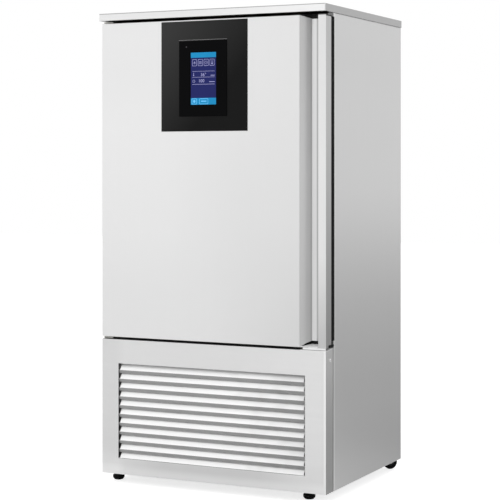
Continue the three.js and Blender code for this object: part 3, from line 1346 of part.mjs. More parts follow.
function pipework() {
  const coilPort = COIL_BOTTOM - STUB_LENGTH - FIT;
  const port = PORT_Z + FIT;
  const suctionRun = port + 2.5 * PIPE_BEND;
  place('suction_line', 'copper', pipe([
    [...SUCTION_HOLE, coilPort],
    [...SUCTION_HOLE, suctionRun],
    [...SUCTION_PORT, suctionRun],
    [...SUCTION_PORT, port],
  ], SUCTION_RADIUS));

  const stubEnd = CONDENSER_RIGHT + COIL_PLATE + STUB_LENGTH + FIT;
  place('discharge_line', 'copper', pipe([
    [...DISCHARGE_PORT, port],
    [...DISCHARGE_PORT, CONDENSER_STUB_TOP],
    [DISCHARGE_PORT[0], CONDENSER_STUB_Y, CONDENSER_STUB_TOP],
    [stubEnd, CONDENSER_STUB_Y, CONDENSER_STUB_TOP],
  ], PIPE_RADIUS));

  const turnX = (stubEnd + RECEIVER_X - RECEIVER_RADIUS) / 2;
  place('receiver_line', 'copper', pipe([
    [stubEnd, CONDENSER_STUB_Y, CONDENSER_STUB_LOW],
    [turnX, CONDENSER_STUB_Y, CONDENSER_STUB_LOW],
    [turnX, RECEIVER_Y, CONDENSER_STUB_LOW],
    [RECEIVER_X - RECEIVER_RADIUS - STUB_LENGTH - FIT, RECEIVER_Y, CONDENSER_STUB_LOW],
  ], PIPE_RADIUS));

  const liquidRun = DRIER_TOP + FIT + 1.5 * PIPE_BEND;
  place('liquid_line', 'copper', pipe([
    [...LIQUID_PORT, DRIER_TOP + FIT],
    [...LIQUID_PORT, liquidRun],
    [...LIQUID_HOLE, liquidRun],
    [...LIQUID_HOLE, coilPort],
  ], PIPE_RADIUS));
}

function powerBox() {
  const right = SHELL_HALF - FIT;
  const left = right - POWER_BOX_WIDTH;
  const front = CONDENSER_FRONT;
  const back = front + POWER_BOX_DEPTH;
  const bottom = DECK + POWER_BOX_LEG;
  const legs = [left, right - EDGE_FOLD].map((x) => block(
    [x, x + EDGE_FOLD],
    [front, front + HEAVY_SHEET],
    [DECK, bottom + 1],
  ));
  const box = join(
    block([left, right], [front, back], [bottom, bottom + POWER_BOX_HEIGHT]),
    ...legs,
  );
  place('power_box', 'galvanised', box);
}

function mainsGland() {
  const axis = [GLAND_X, GLAND_Z];
  const end = BODY_DEPTH + GLAND_REACH;
  const outside = BACK_PANEL_BACK + FIT;
  const inside = BACK_PANEL_FRONT - FIT;
  const gland = cut(
    join(
      rod('y', axis, inside - GLAND_RADIUS / 2, inside, GLAND_RADIUS, 6),
      rod('y', axis, inside - 1, outside + 1, GLAND_RADIUS / 2),
      rod('y', axis, outside, outside + GLAND_RADIUS / 2, GLAND_RADIUS, 6),
      rod('y', axis, outside + GLAND_RADIUS / 2 - 1, end, GLAND_RADIUS * 0.85, 16, GLAND_RADIUS * 0.6),
    ),
    rod('y', axis, inside - GLAND_RADIUS, end + 1, GLAND_RADIUS * 0.3, 12),
  );
  place('mains_gland', 'black_plastic', gland);
}

// ---------------------------------------------------------------- put together
topCap();
sidePanels();
backPanel();
chamber();
baseTray();
lowerFront();
louvreGrille();

outerSkin();
gripProfile();
doorCore();
innerLiner();
doorSeal();
controlPanel();
hinge('upper', 1, DOOR_TOP);
hinge('lower', -1, DOOR_BOTTOM);

frontFeet();
for (const [name, side] of SIDES) {
  castor(name, side);
  trayRack(name, side);
}

fanShroud();
evaporatorFan('upper', FAN_MIDDLE + FAN_SPACING / 2);
evaporatorFan('lower', FAN_MIDDLE - FAN_SPACING / 2);
evaporatorCoil();
drain();

condenser();
compressor();
refrigerantVessels();
pipework();
powerBox();
mainsGland();

// The origin is under the middle of the whole, on the floor.
assembly.position.y = -(BODY_DEPTH + GLAND_REACH - CAP_FRONT) / 2;

const chiller = new THREE.Group();
chiller.add(assembly);

export default chiller;
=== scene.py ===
import math

import bmesh
import bpy
from mathutils import Matrix, Vector


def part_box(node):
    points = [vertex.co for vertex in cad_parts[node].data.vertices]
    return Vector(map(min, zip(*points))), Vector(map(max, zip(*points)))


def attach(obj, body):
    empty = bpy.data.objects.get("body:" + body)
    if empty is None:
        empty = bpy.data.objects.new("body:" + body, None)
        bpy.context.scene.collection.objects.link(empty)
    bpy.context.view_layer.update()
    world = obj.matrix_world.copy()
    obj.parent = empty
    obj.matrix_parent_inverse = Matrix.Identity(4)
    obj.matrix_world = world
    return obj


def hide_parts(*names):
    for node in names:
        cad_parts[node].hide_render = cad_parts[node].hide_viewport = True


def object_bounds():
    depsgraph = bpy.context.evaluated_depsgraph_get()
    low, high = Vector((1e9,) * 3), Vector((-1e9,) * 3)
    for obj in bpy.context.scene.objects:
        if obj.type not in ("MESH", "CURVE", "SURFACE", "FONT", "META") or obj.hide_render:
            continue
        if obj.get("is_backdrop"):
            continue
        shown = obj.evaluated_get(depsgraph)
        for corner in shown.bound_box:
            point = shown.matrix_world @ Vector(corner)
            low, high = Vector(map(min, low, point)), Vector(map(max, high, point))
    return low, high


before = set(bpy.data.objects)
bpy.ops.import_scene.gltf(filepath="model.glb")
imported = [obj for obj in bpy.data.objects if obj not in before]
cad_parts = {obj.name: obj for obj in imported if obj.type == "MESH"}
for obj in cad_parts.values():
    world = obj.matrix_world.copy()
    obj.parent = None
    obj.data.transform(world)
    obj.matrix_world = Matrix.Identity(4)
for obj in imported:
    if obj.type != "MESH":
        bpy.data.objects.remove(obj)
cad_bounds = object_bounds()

MM = 0.001
TURN = 2 * math.pi
# an edge that bends by more than this is a sharp one
SHARP = math.radians(35)


# ---------------------------------------------------------------- camera
CAMERA_PLACE = (2.3318, -4.8234, 1.0812)
CAMERA_HEADING = 25.99
LENS = 110.9
SENSOR_WIDTH = 36
SHIFT_UP = -0.1717


def make_camera():
    """The camera fitted to the photograph. It looks level, with its lens shifted and not tilted."""
    data = bpy.data.cameras.new("camera")
    data.lens = LENS
    data.sensor_width = SENSOR_WIDTH
    data.shift_y = SHIFT_UP
    camera = bpy.data.objects.new("camera", data)
    camera.location = CAMERA_PLACE
    camera.rotation_euler = (math.radians(90), 0, math.radians(CAMERA_HEADING))
    bpy.context.scene.collection.objects.link(camera)
    bpy.context.scene.camera = camera


# ---------------------------------------------------------------- materials
def linear(value):
    """A colour written as 0xRRGGBB, in the renderer's own light values."""
    channels = [((value >> shift) & 255) / 255 for shift in (16, 8, 0)]
    return [c / 12.92 if c <= 0.04045 else ((c + 0.055) / 1.055) ** 2.4 for c in channels]


class Nodes:
    """A node tree. A node's inputs are given as values, or as the node or output that feeds them."""

    def __init__(self, tree):
        self.tree = tree

    def put(self, value, target):
        if isinstance(value, bpy.types.Node):
            value = value.outputs[0]
        if isinstance(value, bpy.types.NodeSocket):
            self.tree.links.new(value, target)
        else:
            target.default_value = value

    def add(self, kind, inputs=(), **settings):
        node = self.tree.nodes.new(kind)
        for key, value in settings.items():
            setattr(node, key, value)
        for socket, value in dict(inputs).items():
            self.put(value, node.inputs[socket])
        return node

    def between(self, value, low, high, start=0.0, end=1.0, **settings):
        """low to high as the value goes from start to end."""
        limits = {"From Min": start, "From Max": end, "To Min": low, "To Max": high}
        return self.add("ShaderNodeMapRange", {"Value": value, **limits}, **settings).outputs["Result"]

    def mixed(self, share, first, second, **settings):
        pair = [c if isinstance(c, bpy.types.NodeSocket) else (*c, 1) for c in (first, second)]
        inputs = {0: share, 6: pair[0], 7: pair[1]}
        return self.add("ShaderNodeMix", inputs, data_type="RGBA", **settings).outputs[2]


class Surface(Nodes):
    """A material whose colour, roughness and bump come from noise in the object's own space."""

    def __init__(self, name, inputs=()):
        self.material = bpy.data.materials.new(name)
        self.material.use_nodes = True
        super().__init__(self.material.node_tree)
        self.shader = self.tree.nodes["Principled BSDF"]
        for socket, value in dict(inputs).items():
            self.feed(socket, value)
        self.coords = self.add("ShaderNodeTexCoord")

    def feed(self, socket, value):
        self.put(value, self.shader.inputs[socket])

    def stretched(self, scale):
        inputs = {"Scale": scale, "Vector": self.coords.outputs["Object"]}
        return self.add("ShaderNodeMapping", inputs).outputs["Vector"]

    def noise(self, scale, detail=2.0, roughness=0.5):
        inputs = {"Scale": 1.0, "Detail": detail, "Roughness": roughness, "Vector": self.stretched(scale)}
        return self.add("ShaderNodeTexNoise", inputs).outputs["Fac"]

    def cells(self, scale, output="Distance"):
        inputs = {"Scale": 1.0, "Vector": self.stretched(scale)}
        return self.add("ShaderNodeTexVoronoi", inputs).outputs[output]

    def along(self, kind, axis):
        """The object's own place ("Object") or its surface's direction ("Normal") along one axis."""
        return self.add("ShaderNodeSeparateXYZ", {0: self.coords.outputs[kind]}).outputs[axis]

    def height(self, axis, low, high):
        """0 to 1 along one axis of the object's space, between two places in millimetres."""
        return self.between(self.along("Object", axis), 0, 1, low * MM, high * MM)

    def colour(self, output):
        self.feed("Base Color", output)

    def roughness(self, output):
        self.feed("Roughness", output)

    def bump(self, output, strength, depth):
        """depth is how high the bumps are, in millimetres."""
        inputs = {"Strength": strength, "Distance": depth * MM, "Height": output}
        self.feed("Normal", self.add("ShaderNodeBump", inputs).outputs["Normal"])


def shaded(colour, amount):
    return [channel * amount for channel in colour]


class Brushed(Surface):
    """Brushed sheet steel; grain is the axis that the brushing runs along."""

    def __init__(self, name, colour, roughness, grain, streak=0.03):
        super().__init__(name, {"Metallic": 1.0})
        base = linear(colour)
        fine = self.noise([7 if axis == grain else 1100 for axis in "xyz"], 3)
        wide = self.noise([1.1 if axis == grain else 70 for axis in "xyz"], 3, 0.6)
        cloud = self.noise([2.5] * 3)
        streaks = self.mixed(wide, shaded(base, 1 - streak), shaded(base, 1 + streak))
        dull = self.mixed(cloud, shaded(base, 0.985), shaded(base, 1.01))
        self.tone = self.mixed(0.5, streaks, dull)
        self.colour(self.tone)
        self.roughness(self.between(fine, roughness - 0.05, roughness + 0.07))
        self.bump(fine, 0.12, 0.05)

    def product(self, values):
        whole = values[0]
        for value in values[1:]:
            whole = self.add("ShaderNodeMath", {0: whole, 1: value}, operation="MULTIPLY").outputs[0]
        return whole

    def shade(self, amount, *zones):
        """Where all the zones hold, the colour is darker by this share as painted shade, or lighter as
        painted highlight.
        """
        self.tone = self.mixed(self.product(zones), self.tone, [amount] * 3, blend_type="MULTIPLY")
        self.colour(self.tone)

    def soften(self, *zones):
        """Where all the zones hold, the sheet scatters light like a matt one."""
        self.feed("Metallic", self.between(self.product(zones), 1, 0))

    def zone(self, axis, low, high, soft=0.3):
        """1 between two places along an axis, in millimetres, and 0 beyond them."""
        return self.product([self.height(axis, low - soft, low), self.height(axis, high + soft, high)])

    def facing(self, axis, start, end):
        """0 to 1 as the surface's own direction along an axis goes from start to end."""
        return self.between(self.along("Normal", axis), 0, 1, start, end)


def grained(name, colour, roughness, size, depth=0.1, metallic=0.0, spread=0.12, specular=0.5):
    """A moulded, cast or painted surface with a fine grain; size is the grain's in millimetres."""
    surface = Surface(name, {"Metallic": metallic, "Specular IOR Level": specular})
    base = linear(colour)
    grain = surface.noise([1 / (size * MM)] * 3, 3)
    cloud = surface.noise([14] * 3, 3)
    surface.colour(surface.mixed(cloud, shaded(base, 1 - spread), shaded(base, 1 + spread)))
    surface.roughness(surface.between(cloud, roughness - 0.05, roughness + 0.08))
    surface.bump(grain, 0.35, depth)
    return surface


def galvanised_sheet(name):
    """Zinc-coated sheet with its spangle."""
    surface = Surface(name, {"Metallic": 0.9})
    split = surface.add("ShaderNodeSeparateColor", {0: surface.cells([85] * 3, "Color")})
    surface.colour(surface.mixed(split.outputs[0], linear(0xB0B4B6), linear(0xCDD0D1)))
    surface.roughness(surface.between(split.outputs[1], 0.38, 0.58))
    surface.bump(surface.noise([600] * 3), 0.15, 0.05)
    return surface


def fascia_plastic(name):
    """Satin dark grey with painted shade: darker towards its lower right."""
    surface = Surface(name, {"Specular IOR Level": 0.1})
    x, _, z = span("control_fascia")
    down, across = surface.height("Z", z[1], z[0]), surface.height("X", x[0], x[1])
    both = surface.add("ShaderNodeMath", {0: down, 1: across}, operation="ADD")
    share = surface.between(both, 0, 1, 0.0, 1.35)
    surface.colour(surface.mixed(share, linear(0x393939), linear(0x111111)))
    surface.roughness(surface.between(surface.noise([900] * 3), 0.38, 0.5))
    surface.bump(surface.noise([1500] * 3), 0.2, 0.04)
    return surface


def insulation(name):
    surface = Surface(name, {"Roughness": 0.95})
    bubbles = surface.cells([420] * 3)
    surface.colour(surface.mixed(bubbles, linear(0xC9B878), linear(0xE3D6A4)))
    surface.bump(bubbles, 0.5, 0.6)
    return surface


def tarnished_copper(name):
    surface = Surface(name, {"Metallic": 1.0})
    cloud = surface.noise([38] * 3, 4, 0.6)
    tarnish = surface.between(cloud, 0, 1, 0.35, 0.7)
    surface.colour(surface.mixed(tarnish, linear(0xC9805A), linear(0x99542F)))
    surface.roughness(surface.between(cloud, 0.22, 0.42))
    surface.bump(surface.noise([700] * 3), 0.1, 0.03)
    return surface


def lit(name, colour, strength, shift=0.1):
    """A part of the display's picture: it glows a little, so that it reads through the glass."""
    surface = Surface(name, {"Roughness": 0.35, "Specular IOR Level": 0.1, "Emission Strength": strength})
    base = linear(colour)
    tone = surface.mixed(surface.noise([25] * 3), shaded(base, 1 - shift), shaded(base, 1 + shift))
    surface.colour(tone)
    surface.feed("Emission Color", tone)
    return surface


# ---------------------------------------------------------------- forms
def span(node):
    """A CAD node's X, Y and Z ranges in millimetres."""
    low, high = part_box(node)
    return [(low[i] / MM, high[i] / MM) for i in range(3)]


def middle(pair):
    return (pair[0] + pair[1]) / 2


def arc(centre, radius, start, end, steps):
    """Points on an arc in a plane, between two angles in degrees; radius may be a pair for an ellipse."""
    ra, rb = radius if isinstance(radius, tuple) else (radius, radius)
    points = []
    for i in range(steps + 1):
        angle = math.radians(start + (end - start) * i / steps)
        points.append((centre[0] + ra * math.cos(angle), centre[1] + rb * math.sin(angle)))
    return points


def hexagon(centre, radius):
    return arc(centre, radius, 0, 300, 5)


def rounded_rect(xs, zs, radius, steps=5):
    """The outline of a rectangle with rounded corners, anticlockwise."""
    corners = [
        ((xs[1] - radius, zs[1] - radius), 0),
        ((xs[0] + radius, zs[1] - radius), 90),
        ((xs[0] + radius, zs[0] + radius), 180),
        ((xs[1] - radius, zs[0] + radius), 270),
    ]
    return [point for centre, start in corners for point in arc(centre, radius, start, start + 90, steps)]


def rounded_path(points, bend, steps=7):
    """A path in space whose inner corners are turned into arcs."""
    corners = [Vector(point) for point in points]
    path = [corners[0]]
    for before, corner, after in zip(corners, corners[1:], corners[2:]):
        back = (before - corner).normalized()
        on = (after - corner).normalized()
        half = back.angle(on) / 2
        reach = bend / math.tan(half)
        centre = corner + (back + on).normalized() * (bend / math.sin(half))
        first, last = corner + back * reach - centre, corner + on * reach - centre
        path += [centre + first.slerp(last, i / steps) for i in range(steps + 1)]
    return path + [corners[-1]]


PLANES = {
    "x": lambda a, b, along: (along, a, b),
    "y": lambda a, b, along: (a, along, b),
    "z": lambda a, b, along: (a, b, along),
}


class Form:
    """Closed shapes, in millimetres, gathered into one piece."""

    def __init__(self):
        self.mesh = bmesh.new()
        self.turned = Matrix.Identity(4)

    def loft(self, loops, closed=False, capped=True):
        rows = [[self.mesh.verts.new(self.turned @ Vector(point)) for point in loop] for loop in loops]
        count = len(rows[0])
        pairs = list(zip(rows, rows[1:])) + ([(rows[-1], rows[0])] if closed else [])
        for first, second in pairs:
            for i in range(count):
                j = (i + 1) % count
                self.mesh.faces.new((first[i], first[j], second[j], second[i]))
        if capped and not closed:
            self.mesh.faces.new(rows[0][::-1])
            self.mesh.faces.new(rows[-1])
        return self

    def prism(self, outline, axis, ends):
        lay = PLANES[axis]
        return self.loft([[lay(a, b, end) for a, b in outline] for end in ends])

    def box(self, xs, ys, zs):
        return self.prism([(xs[0], ys[0]), (xs[1], ys[0]), (xs[1], ys[1]), (xs[0], ys[1])], "z", zs)

    def lathe(self, profile, axis, centre, steps=40, closed=False):
        """profile is [radius, place along the axis] points; closed for a ring."""
        lay = PLANES[axis]
        loops = []
        for radius, along in profile:
            circle = arc(centre, max(radius, 1e-4), 0, 360 - 360 / steps, steps - 1)
            loops.append([lay(a, b, along) for a, b in circle])
        return self.loft(loops, closed, not closed)

    def rod(self, axis, centre, ends, radius, soft=0.0, steps=24):
        low, high = sorted(ends)
        profile = [(radius - soft, low), (radius, low + soft), (radius, high - soft), (radius - soft, high)]
        return self.lathe(profile if soft else profile[1:3], axis, centre, steps)

    def tube(self, path, radius, sides=14, closed=False):
        points = [Vector(point) for point in path]
        count = len(points)
        loops = []
        side = None
        for i, point in enumerate(points):
            if closed:
                heading = points[(i + 1) % count] - points[i - 1]
            else:
                heading = points[min(i + 1, count - 1)] - points[max(i - 1, 0)]
            heading.normalize()
            if side is None:
                side = heading.orthogonal().normalized()
            side = (side - heading * side.dot(heading)).normalized()
            up = heading.cross(side)
            angles = [TURN * k / sides for k in range(sides)]
            loops.append([point + (side * math.cos(a) + up * math.sin(a)) * radius for a in angles])
        return self.loft(loops, closed, not closed)

    def ring(self, axis, centre, radius, along, wire, steps=48, sides=8):
        """A round wire bent into a circle."""
        section = arc((radius, along), wire, 0, 360 - 360 / sides, sides - 1)
        return self.lathe(section, axis, centre, steps, True)

    def piece(self, name, surface, slot, body="cabinet", replaces=(), bevel=0.0):
        bmesh.ops.remove_doubles(self.mesh, verts=self.mesh.verts, dist=1e-3)
        bmesh.ops.recalc_face_normals(self.mesh, faces=self.mesh.faces)
        bmesh.ops.scale(self.mesh, vec=(MM, MM, MM), verts=self.mesh.verts)
        data = bpy.data.meshes.new(name)
        self.mesh.to_mesh(data)
        self.mesh.free()
        data.shade_smooth()
        data.set_sharp_from_angle(angle=SHARP)
        thing = bpy.data.objects.new(name, data)
        bpy.context.scene.collection.objects.link(thing)
        data.materials.append(surface.material)
        if bevel:
            round_edges(thing, bevel)
        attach(thing, body)
        if replaces:
            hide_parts(*([replaces] if isinstance(replaces, str) else replaces))
        return thing


def round_edges(thing, width):
    bevel = thing.modifiers.new("edges", "BEVEL")
    bevel.width = width * MM
    bevel.segments = 2
    bevel.limit_method = "ANGLE"
    bevel.angle_limit = SHARP
    bevel.harden_normals = False


def dress(node, surface, bevel):
    """A CAD node stays as it is, with rounded edges and a better finish."""
    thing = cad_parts[node]
    for attribute in [a for a in thing.data.attributes if a.name == "custom_normal"]:
        thing.data.attributes.remove(attribute)
    thing.data.materials.clear()
    thing.data.materials.append(surface.material)
    for polygon in thing.data.polygons:
        polygon.use_smooth = False
    weld = thing.modifiers.new("weld", "WELD")
    weld.merge_threshold = 0.01 * MM
    flat = thing.modifiers.new("flat", "DECIMATE")
    flat.decimate_type = "DISSOLVE"
    flat.angle_limit = math.radians(0.5)
    round_edges(thing, bevel)


# ---------------------------------------------------------------- finishes in use
make_camera()

door_steel = Brushed("door_steel", 0xF1F1F1, 0.36, "z", 0.012)
# Darker than the door's steel: painted shade on the side panels.
side_steel = Brushed("side_steel", 0xDBDBDB, 0.38, "z", 0.015)
cap_steel = Brushed("cap_steel", 0xEFEFEF, 0.33, "x", 0.05)
panel_steel = Brushed("panel_steel", 0xEBEBEB, 0.36, "x", 0.04)
# Whiter than the panel's steel: painted light on the louvres' faces.
louvre_steel = Brushed("louvre_steel", 0xFDFDFD, 0.36, "x", 0.16)
grip_steel = Brushed("grip_steel", 0xF0F0F0, 0.33, "z", 0.03)
# Whiter than the grip's steel: painted light on the grip's foot.
ramp_steel = Brushed("ramp_steel", 0xFAFAFA, 0.45, "x", 0.03)
liner_steel = Brushed("liner_steel", 0xDBDBDB, 0.33, "z", 0.03)
# A copy of the liner steel that carries painted shade behind the grip's ends.
door_liner_steel = Brushed("door_liner_steel", 0xDBDBDB, 0.33, "z", 0.03)
rack_steel = Brushed("rack_steel", 0xD6D6D6, 0.3, "y", 0.04)
zinc = galvanised_sheet("zinc_sheet")
# Near white: a painted highlight on the panel screws' heads.
glint_bolt = grained("glint_bolt", 0xFDFDFD, 0.25, 0.6, 0.02, 0.1, 0.01)
bolt_zinc = grained("bolt_zinc", 0xB9B8B2, 0.32, 0.6, 0.02, 1.0, 0.08)
dark_zinc = grained("dark_zinc", 0x2C2C2C, 0.4, 0.6, 0.02, 0.7, 0.08)
cast_aluminium = grained("cast_aluminium", 0xB9BCBF, 0.42, 0.9, 0.05, 1.0, 0.06)
fin_aluminium = Brushed("fin_aluminium", 0xD0D0D0, 0.38, "y", 0.05)
copper = tarnished_copper("copper")
black_paint = grained("black_paint", 0x17181A, 0.38, 1.6, 0.12)
black_plastic = grained("black_plastic", 0x141416, 0.5, 0.5, 0.06)
rubber = grained("rubber", 0x070708, 0.72, 0.7, 0.12, specular=0.2)
gloss_black = grained("gloss_black", 0x030304, 0.12, 3.0, 0.01, specular=0.05)
foam = insulation("foam")
fascia = fascia_plastic("fascia_satin")
board_green = grained("board_green", 0x1F5A34, 0.45, 1.2, 0.05)
screen_navy = lit("screen_navy", 0x20255C, 0.15)
screen_cyan = lit("screen_cyan", 0x1D88BC, 0.15, 0.12)
screen_light = lit("screen_light", 0x6CC0F2, 0.15, 0.05)
screen_ink = lit("screen_ink", 0xA9A9D6, 0.15, 0.05)
lamp_dim = lit("lamp_dim", 0x3C3A3C, 0.1)
# A painted highlight along the bezel's top edge.
glint_grey = grained("glint_grey", 0x9A9A9A, 0.4, 0.6, 0.02)

FAR = 5000
PANEL_FRONT = span("lower_front_panel")[1][0]
GRIP_FRONT, (GRIP_FOOT, GRIP_HEAD) = span("door_grip_profile")[1][0], span("door_grip_profile")[2]
SIDE_FRONT = span("right_side_panel")[1][0]
CAP_FRONT, CAP_TOP = span("top_cap")[1][0], span("top_cap")[2][1]
HALF = span("lower_front_panel")[0][1]
LINER_FRONT = span("door_inner_liner")[1][0]


# Each steel is darker or lighter in places, as the photograph has it: painted shade and painted highlights.
def shade_ends(steel, share):
    """The faces that look to the left and right are darker by this share: painted shade."""
    for side in (-1, 1):
        steel.shade(share, steel.facing("X", side * 0.8, side * 0.95))


def shade_door(steel):
    # Painted light: darker towards the right and more so at the lower right, lighter at the middle of the
    # left side.
    shade, height = steel.shade, steel.height
    shade(0.95, height("X", -150, 330))
    shade(0.92, height("X", 0, 330), height("Z", 900, 510))
    shade(1.035, height("X", 100, -200), steel.zone("Z", 850, 1200, 200))


def shade_panel(steel):
    shade, height, zone = steel.shade, steel.height, steel.zone
    # Painted shade: the end faces are darker, and the right flank more so towards its bottom, with dark lines
    # near its front and back edges.
    shade_ends(steel, 0.95)
    flank = steel.facing("X", 0.8, 0.95)
    shade(0.575, flank, height("Z", 440, 60))
    shade(0.8, flank, zone("Y", PANEL_FRONT, PANEL_FRONT + 3, 1))
    shade(0.72, flank, zone("Y", PANEL_FRONT + 54, PANEL_FRONT + 60))
    # A painted highlight along the front's right edge, and the front lighter towards the right.
    face = steel.facing("Y", -0.8, -0.95)
    shade(1.17, zone("X", HALF - 7.5, HALF - 1), face)
    shade(1.05, height("X", 100, 380), face)
    # Painted shade in a band low at the middle and along the left edge; painted reflection makes the front
    # lighter towards its bottom edge and its lower left corner.
    shade(0.9, zone("X", -180, 180, 150), zone("Z", 66, 84, 20))
    shade(0.95, zone("X", -HALF, 50 - HALF, 40), height("Z", 90, 150), face)
    shade(1.1, height("Z", 72, 50), face)
    shade(1.08, zone("X", -HALF, 60 - HALF, 30), height("Z", 110, 60), face)
    # Painted shade on the sill under the door; beside the grip the sill is matt instead.
    sill = steel.facing("Z", 0.6, 0.9)
    shade(0.4, sill, zone("X", -FAR, HALF - 95, 4))
    steel.soften(sill, zone("X", HALF - 91, FAR, 4))


def shade_side(steel):
    # Painted light: a painted highlight along the front edge; darker towards the top, lighter towards the
    # bottom and in a band above it.
    shade = steel.shade
    shade(1.2, steel.zone("Y", SIDE_FRONT + 4, SIDE_FRONT + 11))
    shade(0.906, steel.height("Z", 1000, 1420))
    shade(1.09, steel.height("Z", 620, 270))
    shade(1.045, steel.zone("Z", 620, 900, 250))


def shade_cap(steel):
    # Painted shade on the end faces and along the top's front edge; the front face is lighter towards the
    # right.
    shade_ends(steel, 0.485)
    steel.shade(1.09, steel.height("X", -100, 380), steel.facing("Y", -0.8, -0.95))
    steel.shade(0.5, steel.zone("Z", CAP_TOP - 2.6, FAR), steel.zone("Y", -FAR, CAP_FRONT + 1))


def shade_grip(steel):
    shade, height, zone = steel.shade, steel.height, steel.zone
    # Painted shade on the end faces.
    shade_ends(steel, 0.604)
    outward, foot = steel.facing("X", 0.8, 0.95), height("Z", 790, 515)
    rim, wall = zone("X", HALF - 30, FAR), zone("X", HALF - 92, HALF - 61)
    deep = steel.product([zone("Y", GRIP_FRONT + 26, FAR), zone("X", 0, HALF - 30)])
    # Painted shade in the recess: darker deep inside, dark beside the rim, and nearly black on the faces that
    # look down there.
    shade(0.9, deep)
    shade(0.5, deep, height("X", HALF - 47, HALF - 41))
    shade(0.04, steel.facing("Z", -0.6, -0.9), deep)
    # Painted shade: the rim darker towards its bottom, its top dark and its side's top nearly black under the
    # cap.
    shade(0.72, rim, foot)
    shade(0.05, outward, rim, zone("Z", GRIP_HEAD - 5, FAR))
    shade(0.3, rim, zone("Z", GRIP_HEAD - 2.2, FAR))
    steel.soften(zone("X", HALF - 70, HALF - 61.5, 8), zone("Y", GRIP_FRONT + 16, FAR, 8))
    # Painted light: the rim's side darker in a middle band; the slanted wall darker, more so at its bottom
    # and top; the rim darker towards its top, and its side lighter towards its bottom.
    shade(0.9, rim, zone("Z", 880, 1100, 250), outward)
    shade(0.742, wall)
    shade(0.96, wall, height("Z", 800, 560))
    shade(0.885, wall, height("Z", 1050, 1400))
    shade(0.93, rim, height("Z", 1100, 1500))
    shade(1.25, rim, foot, outward)


def shade_door_liner(steel):
    # Painted shade: nearly black on the liner's front behind the grip's lower and upper ends.
    front, right = steel.zone("Y", LINER_FRONT - 1, LINER_FRONT + 0.5), steel.zone("X", HALF - 95, HALF)
    for low, high in ((GRIP_FOOT, GRIP_FOOT + 40), (GRIP_HEAD - 20, GRIP_HEAD)):
        steel.shade(0.03, front, right, steel.zone("Z", low, high))


def shade_louvres(steel):
    # Painted shade: the faces that look down are darker, and the louvres darker towards the right.
    steel.shade(0.36, steel.facing("Z", 0.15, 0.0))
    steel.shade(0.9, steel.height("X", 120, 330))
    # random darker patches over the right end
    patches = steel.between(steel.noise([16, 1, 31], 1, 0.5), 0, 1, 0.45, 0.7)
    steel.shade(0.9, patches, steel.zone("X", 130, FAR, 120))
    steel.feed("Metallic", 0.15)


shade_door(door_steel)
shade_panel(panel_steel)
shade_side(side_steel)
shade_cap(cap_steel)
shade_grip(grip_steel)
shade_door_liner(door_liner_steel)
shade_louvres(louvre_steel)
ramp_steel.feed("Metallic", 0.4)

# finish, bevel in millimetres, and the CAD nodes that get them
DRESSED = (
    (cap_steel, 0.6, "top_cap"),
    (side_steel, 0.6, "left_side_panel right_side_panel"),
    (panel_steel, 0.6, "lower_front_panel"),
    (louvre_steel, 0.4, "louvre_grille"),
    (door_steel, 0.6, "door_outer_skin"),
    (grip_steel, 0.7, "door_grip_profile"),
    (door_liner_steel, 0.7, "door_inner_liner"),
    (liner_steel, 0.6, "chamber_liner fan_shroud"),
    (rack_steel, 0.5, "tray_rack_left tray_rack_right"),
    (zinc, 0.4, "back_panel"),
    (zinc, 0.6, "base_tray"),
    (zinc, 1.0, "power_box"),
    (foam, 1.0, "chamber_foam door_core"),
    (fascia, 0.4, "control_fascia"),
    (gloss_black, 0.6, "display_bezel"),
    (black_plastic, 1.0, "door_frame"),
    (black_plastic, 0.4, "drain_tube"),
    (black_plastic, 0.8, "condensate_pan"),
    (black_paint, 0.6, "condenser_fan_shroud"),
    (black_paint, 0.8, "condenser_fan_motor"),
    (black_paint, 1.2, "evap_fan_motor_upper evap_fan_motor_lower"),
    (bolt_zinc, 0.8, "hinge_bracket_upper hinge_bracket_lower"),
    (bolt_zinc, 0.6, "castor_plate_left castor_plate_right"),
    (dark_zinc, 0.6, "castor_fork_left castor_fork_right"),
    (cast_aluminium, 0.4, "hinge_bush_upper hinge_bush_lower"),
)
for surface, bevel, nodes in DRESSED:
    for node in nodes.split():
        dress(node, surface, bevel)


